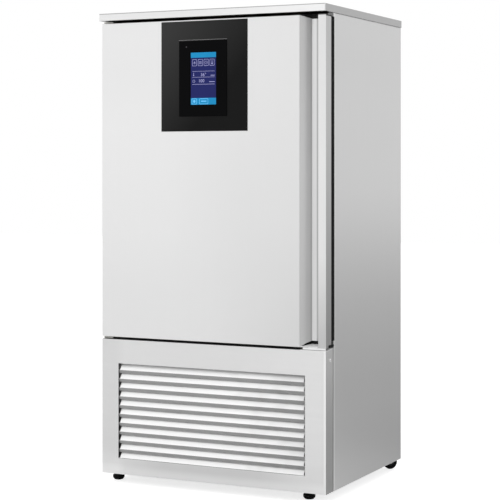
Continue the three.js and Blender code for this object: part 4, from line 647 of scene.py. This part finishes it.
# ---------------------------------------------------------------- door: seal, grip's foot, screen and board
def door_seal():
    """A moulded seal: a base strip with rounded shoulders and a magnetic bulb, mitred at the corners."""
    xs, (back, front), zs = span("door_gasket")
    depth = front - back
    profile = [
        (0.0, 1.2), (0.0, 7.6), (1.0, 9.4), (2.8, 10.0), (16.0, 10.0), (17.0, 9.4), (18.4, 9.4), (19.4, 10.0),
        (22.4, 10.0), (23.2, 11.2), (22.9, 14.0), (24.2, 15.9), (26.6, depth), (42.4, depth), (44.8, 15.9),
        (46.1, 14.0), (45.8, 11.2), (46.6, 10.0), (47.4, 9.9), (49.0, 9.3), (50.0, 7.8), (50.0, 1.2),
        (49.0, 0.0), (1.0, 0.0),
    ]
    form = Form()
    loops = []
    for across, out in profile:
        radius = max(14 - across, 0.6)
        outline = rounded_rect((xs[0] + across, xs[1] - across), (zs[0] + across, zs[1] - across), radius)
        loops.append([(a, back + out, b) for a, b in outline])
    form.loft(loops, closed=True)
    form.piece("door_seal_moulding", rubber, "rubber", "door", "door_gasket")
    # the free edge has an outer lip, which hides the gap beside the grip and laps the side sheet
    side = span("right_side_panel")[0][1]
    lip = [(xs[1] - 2.4, back + 8), (xs[1] - 0.2, back + 3), (side + 0.2, back + 4), (side + 1.2, back + 7),
           (side + 1.2, SIDE_FRONT + 4), (side + 0.4, SIDE_FRONT + 4.3), (side + 0.4, SIDE_FRONT - 0.6),
           (xs[1] - 2.4, SIDE_FRONT - 0.6)]
    lip = Form().prism(lip, "z", (zs[0] + 5, GRIP_HEAD - 4))
    lip.piece("door_seal_lip", rubber, "rubber", "door", bevel=0.2)
    corner = rounded_rect((back - 24, SIDE_FRONT - 1), (GRIP_FOOT - 0.5, GRIP_FOOT + 8), 3.6)
    corner = Form().prism(corner, "x", (HALF - 0.3, HALF + 1.5))
    corner.piece("door_seal_corner", rubber, "rubber", "door", bevel=0.3)


def grip_foot():
    """The folded ramp and skirt that close the lower end of the grip, and the lip under it."""
    rim, left, depth = HALF - 27, HALF - 91, 30

    plan = [(left, 0.3), (rim - 0.5, 0.3), (rim - 0.5, depth - 0.5), (left + depth - 0.5, depth - 0.5)]
    loops = [[(x, GRIP_FRONT + y, GRIP_FOOT + 0.5) for x, y in plan],
             [(x, GRIP_FRONT + y, GRIP_FOOT + 2.2 + 0.24 * y) for x, y in plan]]
    Form().loft(loops).piece("grip_foot_ramp", ramp_steel, "brushed_steel", "door", bevel=0.3)

    loops = []
    ends = ((left + 15, 15, 12, 13.5), (left + depth, depth, 19.5, 26.5), (rim - 0.5, depth, 19.5, 26.5))
    for x, y, low, high in ends:
        corners = ((-0.2, low), (-0.2, high), (-1.2, high), (-1.2, low))
        loops.append([(x, GRIP_FRONT + y + out, GRIP_FOOT + z) for out, z in corners])
    Form().loft(loops).piece("grip_foot_skirt", grip_steel, "brushed_steel", "door")

    fold = [(0.8, 0.4), (0.8, -3.4), (2.2, -6.8), (3.4, -6.8), (2.4, -3.2), (2.4, 0.4)]
    lip = Form().prism([(GRIP_FRONT + y, GRIP_FOOT + z) for y, z in fold], "x", (left + 10, HALF - 1.5))
    lip.piece("grip_foot_lip", ramp_steel, "brushed_steel", "door", bevel=0.2)


def display():
    """The lit screen: a pane, and behind its front thin raised shapes for the picture that it shows."""
    xs, (front, back), zs = span("touch_screen")
    pane = Form().prism(rounded_rect(xs, zs, 1.5), "y", (front, back))
    pane.piece("screen_pane", gloss_black, "screen_glass", "door", "touch_screen", bevel=0.2)
    left, right, low, high = xs[0] + 4.6, xs[1] - 0.2, zs[0] + 1.9, zs[1] - 2.3
    wide, tall = (right - left) / 100, (high - low) / 176
    sheet, layer = (front - 0.1, front), (front - 0.2, front - 0.1)

    def at(x, z):
        """A place in the picture: x in hundredths of its width from the left, z down from its top."""
        return left + x * wide, high - z * tall

    field = Form().prism(rounded_rect((left, right), (low + 22 * tall, high - 17 * tall), 0.5), "y", sheet)
    field.piece("screen_field", screen_navy, "screen_glass", "door")
    bars = Form()
    for top, foot in ((0, 17.5), (153.5, 176)):
        (x0, z1), (x1, z0) = at(0, top), at(100, foot)
        bars.prism(rounded_rect((x0, x1), (z0, z1), 1), "y", (front - 0.12, front))
    bars.piece("screen_bars", screen_cyan, "screen_glass", "door")

    ink, keys = Form(), Form()

    def stroke(form, x0, x1, z0, z1):
        (a0, b1), (a1, b0) = at(x0, z0), at(x1, z1)
        form.box((a0, a1), layer, (b0, b1))

    def outlined(form, x0, x1, z0, z1, width=1.1):
        (a0, b1), (a1, b0) = at(x0, z0), at(x1, z1)
        outer = rounded_rect((a0, a1), (b0, b1), 2.6, 4)
        inner = rounded_rect((a0 + width, a1 - width), (b0 + width, b1 - width), 1.6, 4)
        rows = ((layer[0], outer), (layer[1], outer), (layer[1], inner), (layer[0], inner))
        form.loft([[(a, y, b) for a, b in loop] for y, loop in rows], closed=True)

    def line(form, start, end, weight=0.5):
        form.tube([(start[0], layer[0], start[1]), (end[0], layer[0], end[1])], weight, 6)

    def dial(form, x, z, radius, hands):
        centre = at(x, z)
        form.ring("y", centre, radius, layer[0], 0.5, 20, 6)
        for across, up in hands:
            line(form, centre, (centre[0] + across, centre[1] + up), 0.45)

    for column in range(4):
        outlined(ink, 5.5 + 23.2 * column, 24 + 23.2 * column, 23, 45.5)
    # cold: a six-armed star
    star = at(14.7, 34.2)
    for k in range(3):
        angle = math.radians(60 * k + 90)
        across, up = 5 * math.cos(angle), 5 * math.sin(angle)
        line(ink, (star[0] - across, star[1] - up), (star[0] + across, star[1] + up))
    # tray: three bars
    for row in range(3):
        stroke(ink, 32.5, 43, 30.5 + 3.6 * row, 31.7 + 3.6 * row)
    # timed hold: a dial with two hands; core probe: a bulb on a stem
    dial(ink, 61.2, 34.2, 5, ((0, 3.6), (2.5, -1.4)))
    ink.rod("y", at(84.4, 38.2), layer, 2.6, 0, 16)
    stroke(ink, 83.5, 85.3, 27.5, 38)
    for z, weight in ((63.4, 0.9), (83.5, 0.9), (107.3, 1.1)):
        stroke(ink, 6, 95, z - weight / 2, z + weight / 2)
    # the rows' small signs: a thermometer and a clock
    stroke(ink, 10.4, 11.8, 68, 76)
    ink.rod("y", at(11.1, 77), layer, 1.9, 0, 14)
    dial(ink, 12, 96.8, 4.6, ((0, 3.2), (2.2, 0)))
    for x, z in ((79, 77), (73, 98.5)):
        stroke(ink, x, 95, z, z + 1.8)
    ink.piece("screen_signs", screen_ink, "screen_glass", "door")

    outlined(keys, 3.4, 24, 155, 174.4, 1.6)
    outlined(keys, 33.5, 69, 155, 174.4, 1.6)
    keys.rod("y", at(13.7, 164.6), layer, 4.6, 0, 20)
    stroke(keys, 40.5, 62, 162.6, 166.6)
    keys.piece("screen_keys", screen_light, "screen_glass", "door")

    for name, text, x, z in (("screen_degrees", "36°", 50, 75.5), ("screen_minutes", "100", 42, 96.4)):
        data = bpy.data.curves.new(name, "FONT")
        data.body = text
        data.size = 15 * MM
        data.extrude = 0.05 * MM
        data.align_x = data.align_y = "CENTER"
        number = bpy.data.objects.new(name, data)
        across, up = at(x, z)
        number.location = (across * MM, (front - 0.15) * MM, up * MM)
        number.rotation_euler = (math.radians(90), 0, 0)
        data.materials.append(screen_ink.material)
        bpy.context.scene.collection.objects.link(number)
        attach(number, "door")

    xs, (front, _), (_, top) = span("display_bezel")
    lamp = Form().rod("y", (xs[0] + 31.5, top - 23), (front - 0.35, front + 0.4), 2.6, 0.3)
    lamp.piece("status_lamp", lamp_dim, "gloss_black", "door")
    # A grey strip along the bezel's top edge: a painted highlight.
    glint = Form().box((xs[0] + 3, xs[1] - 3), (front - 0.1, front + 0.3), (top - 0.9, top - 0.1))
    glint.piece("bezel_glint", glint_grey, "gloss_black", "door")


def controller():
    """The control's board with its relays, capacitors and connectors."""
    xs, (front, back), zs = span("controller_board")
    form = Form().prism(rounded_rect(xs, zs, 3), "y", (front, front + 1.6))
    form.piece("controller_card", board_green, "circuit_board", "door", "controller_board")
    parts = Form()
    for i in range(3):
        z = zs[0] + 10 + i * (zs[1] - zs[0]) / 3
        for x in (xs[0] + 12, xs[0] + 36):
            parts.box((x, x + 18), (front + 1.5, back - 0.5), (z, z + 26))
    parts.box((xs[0] + 62, xs[0] + 84), (front + 1.5, front + 9), (zs[0] + 12, zs[0] + 190))
    parts.piece("controller_relays", black_plastic, "black_plastic", "door", bevel=0.6)
    cans = Form()
    for i in range(5):
        cans.rod("y", (xs[0] + 100 + 12 * i, zs[0] + 30), (front + 1.5, front + 9), 4.4, 0.5)
    cans.piece("controller_cans", cast_aluminium, "aluminium", "door")


# ---------------------------------------------------------------- screws
def cross_screw(form, axis, centre, seat, out, radius=5.0, height=1.6):
    """A pan-head screw on a face; out is which way its head stands along the axis."""
    crown = seat + out * height
    profile = [(radius - 0.4, seat), (radius, seat + out * 0.4), (radius * 0.93, seat + out * height * 0.6),
               (radius * 0.72, seat + out * height * 0.9), (radius * 0.5, crown), (1e-4, crown)]
    form.lathe(profile, axis, centre, 24)
    return crown


def recess_mark(form, axis, centre, crown, out, size=2.4):
    lay = PLANES[axis]
    for wide, tall in ((size, 0.5), (0.5, size)):
        corners = [(-wide, -tall), (wide, -tall), (wide, tall), (-wide, tall)]
        form.loft([[lay(centre[0] + a, centre[1] + b, end) for a, b in corners]
                   for end in (crown - out * 0.4, crown + out * 0.05)])


def screws(name, places, seat, out, radius=4.0):
    heads, marks = Form(), Form()
    for place in places:
        crown = cross_screw(heads, "y", place, seat, out, radius, radius * 0.34)
        recess_mark(marks, "y", place, crown, out, radius * 0.48)
    heads.piece(name, bolt_zinc, "galvanised")
    marks.piece(name + "_slots", black_paint, "black_paint")


def panel_screws():
    for side in ("left", "right"):
        xs, ys, zs = span("panel_screw_" + side)
        out = 1 if side == "right" else -1
        tip, crown = (xs[0], xs[1]) if out > 0 else (xs[1], xs[0])
        centre = (middle(ys), middle(zs))
        heads = Form()
        heads.rod("x", centre, (tip, crown - out * 1.2), 2.5, 0.4)
        cross_screw(heads, "x", centre, crown - out * 1.6, out)
        heads.piece("panel_screw_head_" + side, glint_bolt, "galvanised", "cabinet", "panel_screw_" + side)
        marks = Form()
        recess_mark(marks, "x", centre, crown, out)
        marks.piece("panel_screw_slot_" + side, black_paint, "black_paint")


# ---------------------------------------------------------------- feet and castors
CASTOR_TURN = 37


def feet():
    for side in ("left", "right"):
        xs, ys, zs = span("front_foot_" + side)
        centre = (middle(xs), middle(ys))
        radius = (xs[1] - xs[0]) / 2
        profile = [(1e-4, 0), (13.2, 0), (14.4, 0.5), (15.2, 1.4)]
        profile += arc((radius - 4, 8.5), (4, 4.5), -50, 0, 4)
        profile += [(radius, 14.2), (radius - 0.8, 15.6), (14.5, 18.4), (12.2, 19.6), (10.2, 20), (5, 20),
                    (5, zs[1] - 1), (4, zs[1]), (1e-4, zs[1])]
        form = Form().lathe(profile, "z", centre, 40)
        form.prism(hexagon(centre, 8.2), "z", (20.4, 27.4))
        for step in range(3):
            z = 28.4 + 2 * step
            form.lathe([(4.4, z - 0.8), (5.6, z), (4.4, z + 0.8)], "z", centre, 24)
        form.piece("levelling_foot_" + side, rubber, "rubber", "foot_" + side,
                   "front_foot_" + side, bevel=0.3)


def castors():
    for side, heading in (("left", 180 - CASTOR_TURN), ("right", CASTOR_TURN)):
        xs, ys, zs = span("castor_wheel_" + side)
        centre = Vector((middle(xs), middle(ys), middle(zs)))
        radius = (zs[1] - zs[0]) / 2
        tyre, hub, bolt = Form(), Form(), Form()
        for form in (tyre, hub, bolt):
            form.turned = Matrix.Translation(centre) @ Matrix.Rotation(math.radians(heading), 4, "Z")

        tread = arc((radius - 4.2, -4.6), (4.2, 4.4), -90, -20, 4)
        tread += arc((radius - 4.2, 4.6), (4.2, 4.4), 20, 90, 4)
        tyre.lathe([(13.5, -7.2), (16, -9)] + tread + [(16, 9), (13.5, 7.2)], "y", (0, 0), 48, True)
        tyre.piece("castor_tyre_" + side, rubber, "rubber", "wheel_" + side, "castor_wheel_" + side)
        inner = [(3.3, -9), (6.2, -9), (6.8, -7.8), (7.2, -4.5), (11.2, -4.5), (11.8, -8.2), (13.4, -8.2)]
        hub.lathe(inner + [(r, -along) for r, along in inner[::-1]], "y", (0, 0), 40, True)
        hub.piece("castor_hub_" + side, black_plastic, "aluminium", "wheel_" + side, bevel=0.2)

        for end in (-1, 1):
            seat = end * 13.3
            bolt.prism(hexagon((0, 0), 4.9), "y", (seat, seat + end * 2.4))
            bolt.lathe([(5.4, seat), (5.4, seat + end * 0.5), (1e-4, seat + end * 0.5)], "y", (0, 0), 24)
        bolt.rod("y", (0, 0), (-13.5, 13.5), 2.8, 0.3)
        bolt.piece("castor_bolt_" + side, bolt_zinc, "galvanised", "castor_" + side,
                   "castor_axle_" + side, bevel=0.25)


# ---------------------------------------------------------------- fans
def fan_rotor(name, body, node, centre, hub, blade_ys, tip, motor_side):
    """Five sickle blades, twisted and cambered, on a domed hub. motor_side is -1 if the motor is in front."""
    form = Form()
    low, high = hub
    dome = 2.5
    profile = [(5.4, low), (34, low), (37, low + 1.6), (38, low + 4), (38, high - 4), (37, high - 1.6),
               (34, high), (12, high - dome), (5.4, high - dome)]
    if motor_side > 0:
        profile = [(radius, low + high - along) for radius, along in profile]
    form.lathe(profile, "y", centre, 48, True)
    stations = 9
    chord_points = 7
    y_mid = middle(blade_ys)
    half_depth = (blade_ys[1] - blade_ys[0]) / 2 - 1.4
    for blade in range(5):
        base = TURN * blade / 5
        loops = []
        for i in range(stations + 1):
            share = i / stations
            radius = 36 + (tip - 36) * share
            swell = math.sin(math.pi * min(share * 0.62 + 0.2, 1.0))
            sweep = base + 0.42 * share * share
            chord = 34 + 52 * swell
            spread = chord / 2 / radius
            depth = min(half_depth, 5 + half_depth * 1.1 * swell) if share else 5.5
            edge, sheet = [], []
            for k in range(chord_points + 1):
                along = -1 + 2 * k / chord_points
                angle = sweep + along * spread
                camber = 2.2 * (1 - along * along) * share
                edge.append((angle, y_mid + along * depth * 0.93 - camber))
            for half, points in ((-0.8, edge), (0.8, edge[::-1])):
                sheet += [(centre[0] + radius * math.cos(a), y + half, centre[1] + radius * math.sin(a))
                          for a, y in points]
            loops.append(sheet)
        form.loft(loops)
    form.piece(name, cast_aluminium, "aluminium", body, node, bevel=0.25)


def fan_guard(name, node):
    """A chromed wire guard: rings on radial wires that bend back to the rim."""
    xs, (front, back), zs = span(node)
    centre = (middle(xs), middle(zs))
    rim = (xs[1] - xs[0]) / 2
    wire = 1.3
    form = Form()
    rings = 9
    for i in range(rings):
        form.ring("y", centre, 50 + i * (rim - 12 - 50) / (rings - 1), front + wire + 1.9, wire, 56, 8)
    form.ring("y", centre, rim - wire - 0.3, back - wire - 1.2, 1.9, 64, 8)
    form.ring("y", centre, rim - wire - 0.3, middle((front, back)), 1.5, 64, 8)
    for spoke in range(8):
        angle = TURN * (spoke + 0.5) / 8
        bends = ((40, front + wire), (rim - 4, front + wire), (rim - 4, back - 0.6))
        path = rounded_path([(centre[0] + r * math.cos(angle), y, centre[1] + r * math.sin(angle))
                             for r, y in bends], 5)
        form.tube(path, wire, 8)
    boss = [(1e-4, front), (36, front), (42, front + 0.8), (44, front + 2.4), (44, front + 3),
            (1e-4, front + 3)]
    form.lathe(boss, "y", centre, 48)
    form.piece(name, bolt_zinc, "liner_steel", "cabinet", node)


def fans():
    for level in ("upper", "lower"):
        node = "evap_fan_rotor_" + level
        motor = span("evap_fan_motor_" + level)
        hub = (motor[1][1] - 16, motor[1][1])
        blade_ys = (hub[0] + 0.6, span(node)[1][1] + 1)
        centre = (middle(motor[0]), middle(motor[2]))
        fan_rotor("evap_impeller_" + level, "evap_fan_" + level, node, centre, hub, blade_ys, 141, -1)
        fan_guard("evap_guard_" + level, "evap_fan_guard_" + level)
    node = "condenser_fan_rotor"
    shroud = span("condenser_fan_shroud")
    centre = (middle(shroud[0]), middle(shroud[2]))
    hub = (shroud[1][1] - 16, shroud[1][1])
    blade_ys = (span(node)[1][0] + 1, hub[1])
    fan_rotor("condenser_impeller", "condenser_fan", node, centre, hub, blade_ys, 134, 1)


# ---------------------------------------------------------------- coils
BEND = 14


def return_bend(form, x, side, y, z):
    reach = x + side * BEND * 1.5
    points = [(x - side * 3, y, z - BEND), (reach, y, z - BEND), (reach, y, z + BEND),
              (x - side * 3, y, z + BEND)]
    form.tube(rounded_path(points, BEND - 1.0, 8), 5, 14)


def coil(name, node, xs, ys, zs, fin_pitch, side, row_pitch):
    """The fins, and the shape of four rows of tubes that turn back at one side.

    side is -1 at the left and 1 at the right.
    """
    fins = Form()
    count = int((xs[1] - xs[0]) / fin_pitch)
    for i in range(count + 1):
        x = xs[0] + (xs[1] - xs[0] - 0.5) * i / count
        fins.box((x, x + 0.5), ys, zs)
    fins.piece(name + "_fins", fin_aluminium, "aluminium", "cabinet", node)
    pipes = Form()
    y = middle(ys)
    for i in range(4):
        z = middle(zs) + (i - 1.5) * row_pitch
        return_bend(pipes, xs[side > 0] + 2 * side, side, y, z)
        for straight in (z - BEND, z + BEND):
            pipes.rod("x", (y, straight), (xs[0] - 1, xs[1] + 1), 5, 0, 12)
    return pipes, y


def evaporator():
    _, ys, zs = span("evaporator_coil")
    half = 290
    bottom, top = zs[1] - 742, zs[1] - 2
    pipes, y = coil("evaporator", "evaporator_coil", (-half, half), (ys[0] + 2, ys[1]), (bottom, top),
                    5.2, 1, 185)
    plates = Form()
    for ends in ((-half - 2, -half), (half, half + 2)):
        plates.box(ends, ys, zs)
    plates.piece("evaporator_plates", zinc, "galvanised", bevel=0.4)
    for x, radius in ((215, 7), (270, 5)):
        pipes.rod("z", (x, y), (bottom - 14, bottom + 20), radius, 0.4)
    pipes.piece("evaporator_tubes", copper, "copper")


def condenser():
    _, ys, zs = span("condenser_coil")
    left, right = -340, 80
    pipes, y = coil("condenser", "condenser_coil", (left, right), (ys[0] + 2, ys[1]), (zs[0] + 2, zs[1] - 2),
                    4.2, -1, (zs[1] - zs[0]) / 4)
    plates = Form()
    for ends in ((left - 2, left), (right, right + 2)):
        plates.box(ends, ys, zs)
    for rim in ((zs[1] - 2, zs[1]), (zs[0], zs[0] + 2)):
        plates.box((left - 2, right + 2), (ys[0], ys[0] + 8), rim)
    plates.piece("condenser_plates", zinc, "galvanised", bevel=0.4)
    for z in (zs[1] - 30, zs[0] + 45):
        pipes.rod("x", (y, z), (right - 2, right + 16), 5, 0.4)
    pipes.piece("condenser_tubes", copper, "copper")


# ---------------------------------------------------------------- machine compartment
def compressor():
    xs, ys, zs = span("compressor")
    centre = (middle(xs), middle(ys))
    base = zs[0] + 20
    top = base + 205
    profile = [(1e-4, base), (66, base), (72, base + 1.6)]
    profile += arc((72, base + 21), (16, 19.4), -84, 0, 6)
    profile += [(88, base + 96), (89.8, base + 98), (89.8, base + 104), (88, base + 106), (88, top)]
    profile += arc((0, top), (88, 42), 6, 90, 12)
    form = Form().lathe(profile, "z", centre, 64)
    box = [(centre[0] + 71, centre[0] + 114), (centre[1] - 42, centre[1] + 42), (base + 42, base + 102)]
    form.prism(rounded_rect(box[0], box[1], 6), "z", box[2])
    form.piece("compressor_shell", black_paint, "black_paint", "cabinet", "compressor", bevel=0.8)
    feet_form = Form()
    feet_form.prism(rounded_rect(xs, ys, 12), "z", (base - 2, base + 2))
    feet_form.piece("compressor_feet", zinc, "galvanised", bevel=0.6)
    rubbers, bolts = Form(), Form()
    for sx in (-1, 1):
        for sy in (-1, 1):
            place = (centre[0] + sx * 102, centre[1] + sy * 62)
            ribs = [(12.6, zs[0]), (13, zs[0] + 2), (13, zs[0] + 6), (10.4, zs[0] + 8), (10.4, zs[0] + 11),
                    (13, zs[0] + 13), (13, base - 2.4), (12, base - 2)]
            rubbers.lathe(ribs, "z", place, 28)
            bolts.prism(hexagon(place, 7), "z", (base + 2, base + 7.5))
            bolts.rod("z", place, (base + 7, base + 11), 3.5, 0.5)
    rubbers.piece("compressor_grommets", rubber, "rubber")
    bolts.piece("compressor_bolts", bolt_zinc, "galvanised", bevel=0.4)
    ports = Form()
    for dx, dy, radius in ((35, 35, 7), (-35, -35, 5)):
        ports.rod("z", (centre[0] + dx, centre[1] + dy), (top + 4, zs[1]), radius, 0.5)
        ports.rod("z", (centre[0] + dx, centre[1] + dy), (top + 24, top + 32), radius + 2.4, 0.8)
    ports.piece("compressor_ports", copper, "copper")


def vessels():
    xs, ys, zs = span("liquid_receiver")
    y = middle(ys)
    x = xs[1] - 45
    top = zs[0] + 215
    profile = [(1e-4, zs[0]), (30, zs[0])] + arc((30, zs[0] + 15), (15, 15), -85, 0, 6)
    profile += [(45, zs[0] + 60), (46, zs[0] + 61), (46, zs[0] + 65), (45, zs[0] + 66), (45, top - 27)]
    profile += arc((0, top - 27), (45, 27), 8, 90, 10)
    form = Form().lathe(profile, "z", (x, y), 48)
    form.piece("receiver_vessel", black_paint, "black_paint", "cabinet", "liquid_receiver")
    stubs = Form()
    stubs.rod("x", (y, zs[0] + 45), (xs[0], x - 40), 5, 0.4)
    stubs.rod("x", (y, zs[0] + 45), (x - 52, x - 43), 8, 0.8)
    stubs.rod("z", (x + 15, y), (top - 20, zs[1]), 5, 0.4)
    stubs.rod("z", (x + 15, y), (top - 4, top + 4), 8, 0.8)
    stubs.piece("receiver_stubs", copper, "copper")

    xs, ys, zs = span("filter_drier")
    radius = (xs[1] - xs[0]) / 2
    low, high = zs
    profile = [(5, low), (5, low + 8), (8, low + 12), (radius - 2, low + 27), (radius, low + 30)]
    profile += [(r, low + high - z) for r, z in profile[::-1]]
    cartridge = Form().lathe(profile, "z", (middle(xs), middle(ys)), 40)
    cartridge.piece("drier_cartridge", copper, "copper", "cabinet", "filter_drier")


def pipe(node, radius, points):
    form = Form().tube(rounded_path(points, 18), radius, 18)
    for end, inner in ((points[0], points[1]), (points[-1], points[-2])):
        start = Vector(end)
        way = (Vector(inner) - start).normalized()
        form.tube([start, start + way * 9], radius + 1.1, 18)
    form.piece(node + "_tube", copper, "copper", "cabinet", node)


def pipes():
    def inset(node, radius):
        """A pipe's box, with the places of its centre line along Y."""
        x, y, z = span(node)
        return x, y[0] + radius, y[1] - radius, z

    x, front, back, z = inset("suction_line", 7)
    x, low = middle(x), z[0] + 45
    pipe("suction_line", 7, [(x, back, z[1]), (x, back, low), (x, front, low), (x, front, z[0])])
    x, front, back, z = inset("discharge_line", 5)
    right, high = x[1] - 5, z[1] - 5
    pipe("discharge_line", 5, [
        (right, back, z[0]), (right, back, high), (right, front, high), (x[0], front, high)])
    x, front, back, z = inset("receiver_line", 5)
    turn, z = (x[0] + x[1] + 14.3) / 2, middle(z)
    pipe("receiver_line", 5, [(x[0], front, z), (turn, front, z), (turn, back, z), (x[1], back, z)])
    x, front, back, z = inset("liquid_line", 5)
    x, low = middle(x), z[0] + 27
    pipe("liquid_line", 5, [(x, front, z[0]), (x, front, low), (x, back, low), (x, back, z[1])])


def gland():
    xs, ys, zs = span("mains_gland")
    centre = (middle(xs), middle(zs))
    inner, outer = ys
    plate = span("back_panel")[1][1] + 0.3
    nut = Form()
    for start, end in ((plate, plate + 7), (inner, inner + 6.8)):
        nut.prism(hexagon(centre, 14), "y", (start, end))
    nut.rod("y", centre, (inner + 6, plate + 1), 7, 0)
    nut.piece("gland_nuts", black_plastic, "black_plastic", "cabinet", "mains_gland", bevel=0.7)
    cone = [(4.4, plate + 6), (12, plate + 6), (12.2, plate + 8), (11.4, outer - 4), (9.4, outer - 1),
            (8, outer), (4.4, outer)]
    Form().lathe(cone, "y", centre, 36, True).piece("gland_cone", black_plastic, "black_plastic")


def small_hardware():
    xs, ys, zs = span("back_panel")
    edge = 14
    places = [(x, z) for x in (xs[0] + edge, xs[1] - edge) for z in (150, 420, 760, 1100, 1440)]
    places += [(x, zs[1] - edge) for x in (-200, 0, 200)]
    screws("back_panel_screws", places, ys[1], 1)
    xs, ys, zs = span("power_box")
    places = [(x, z) for x in (xs[0] + 10, xs[1] - 10) for z in (zs[1] - 10, zs[1] - 250)]
    screws("power_box_screws", places, ys[0], -1, 3.2)
    xs, ys, zs = span("fan_shroud")
    places = [(x, z) for x in (xs[0] + 16, xs[1] - 16) for z in (zs[0] + 20, middle(zs), zs[1] - 20)]
    screws("fan_shroud_screws", places, ys[0], -1, 3.6)


door_seal()
grip_foot()
display()
controller()
panel_screws()
feet()
castors()
fans()
evaporator()
condenser()
compressor()
vessels()
pipes()
gland()
small_hardware()


# ---------------------------------------------------------------- stage and light
def make_floor():
    """It glows evenly for the camera. Other rays see a plain floor with painted shade, pale at the front and
    mid-grey behind.
    """
    bpy.ops.mesh.primitive_plane_add(size=30)
    floor = bpy.context.object
    floor.name = "floor"
    material = bpy.data.materials.new("floor_paper")
    material.use_nodes = True
    material.node_tree.nodes.clear()
    paper = Nodes(material.node_tree)
    split = paper.add("ShaderNodeSeparateXYZ", {0: paper.add("ShaderNodeTexCoord").outputs["Object"]})
    level = paper.between(split.outputs["Y"], 0.7, 0.36, -0.3, 0.8)
    plain = paper.add("ShaderNodeBsdfDiffuse", {"Color": level})
    seen = paper.add("ShaderNodeBsdfDiffuse", {"Color": (0.55, 0.55, 0.55, 1)})
    glow = paper.add("ShaderNodeEmission", {"Strength": 0.76})
    both = paper.add("ShaderNodeAddShader", {0: seen, 1: glow})
    camera = paper.add("ShaderNodeLightPath").outputs["Is Camera Ray"]
    mix = paper.add("ShaderNodeMixShader", {0: camera, 1: plain, 2: both})
    paper.add("ShaderNodeOutputMaterial", {"Surface": mix})
    floor.data.materials.append(material)
    floor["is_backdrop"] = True


FRONT_LEFT = (-0.75, -0.66, 0.0)
# how bright the studio is, from behind right (0) to the front left (1)
STOPS = ((0.0, 0.84), (0.12, 0.78), (0.3, 0.57), (0.5, 0.57), (0.75, 0.74), (1.0, 1.02))


def make_world():
    """White to camera, glossy and transmission rays. The others see a plain studio, brightest overhead
    and at the front left."""
    world = bpy.data.worlds.new("studio")
    bpy.context.scene.world = world
    world.use_nodes = True
    world.node_tree.nodes.clear()
    sky = Nodes(world.node_tree)
    way = sky.add("ShaderNodeTexCoord").outputs["Generated"]
    dot = sky.add("ShaderNodeVectorMath", {0: way, 1: FRONT_LEFT}, operation="DOT_PRODUCT")
    ramp = sky.add("ShaderNodeValToRGB", {"Fac": sky.between(dot.outputs["Value"], 0, 1, -1, 1)})
    stops = ramp.color_ramp.elements
    for i, (place, level) in enumerate(STOPS):
        stop = stops[i] if i < 2 else stops.new(place)
        stop.position = place
        stop.color = (level, level, level, 1)
    split = sky.add("ShaderNodeSeparateXYZ", {0: way})
    up = sky.between(split.outputs["Z"], 0, 1, 0.35, 0.9, interpolation_type="SMOOTHSTEP")
    studio = sky.add("ShaderNodeBackground", {"Color": sky.mixed(up, ramp.outputs["Color"], [1.05] * 3)})
    white = sky.add("ShaderNodeBackground", {"Color": (1, 1, 1, 1)})
    path = sky.add("ShaderNodeLightPath")
    seen = path.outputs["Is Camera Ray"]
    for ray in ("Is Glossy Ray", "Is Transmission Ray"):
        seen = sky.add("ShaderNodeMath", {0: seen, 1: path.outputs[ray]}, operation="MAXIMUM").outputs[0]
    mix = sky.add("ShaderNodeMixShader", {0: seen, 1: studio, 2: white})
    sky.add("ShaderNodeOutputWorld", {"Surface": mix})


def make_lamp(name, place, aim, size, energy):
    data = bpy.data.lights.new(name, "AREA")
    data.shape = "RECTANGLE"
    data.size, data.size_y = size
    data.energy = energy
    lamp = bpy.data.objects.new(name, data)
    lamp.location = place
    lamp.rotation_euler = (Vector(aim) - Vector(place)).to_track_quat("-Z", "Y").to_euler()
    lamp.visible_camera = False
    lamp.visible_glossy = False
    bpy.context.scene.collection.objects.link(lamp)


make_floor()
make_world()
make_lamp("key", (-2.6, -4.0, 3.4), (0, 0, 0.8), (2.6, 2.6), 60)
make_lamp("fill", (3.6, -1.0, 2.6), (0, 0, 0.8), (2.0, 2.6), 15)

bpy.context.scene.view_settings.view_transform = "Standard"
bpy.context.view_layer.update()


def plain(bounds):
    return [[round(float(value), 5) for value in corner] for corner in bounds]


{"cad": plain(cad_bounds), "visual": plain(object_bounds())}
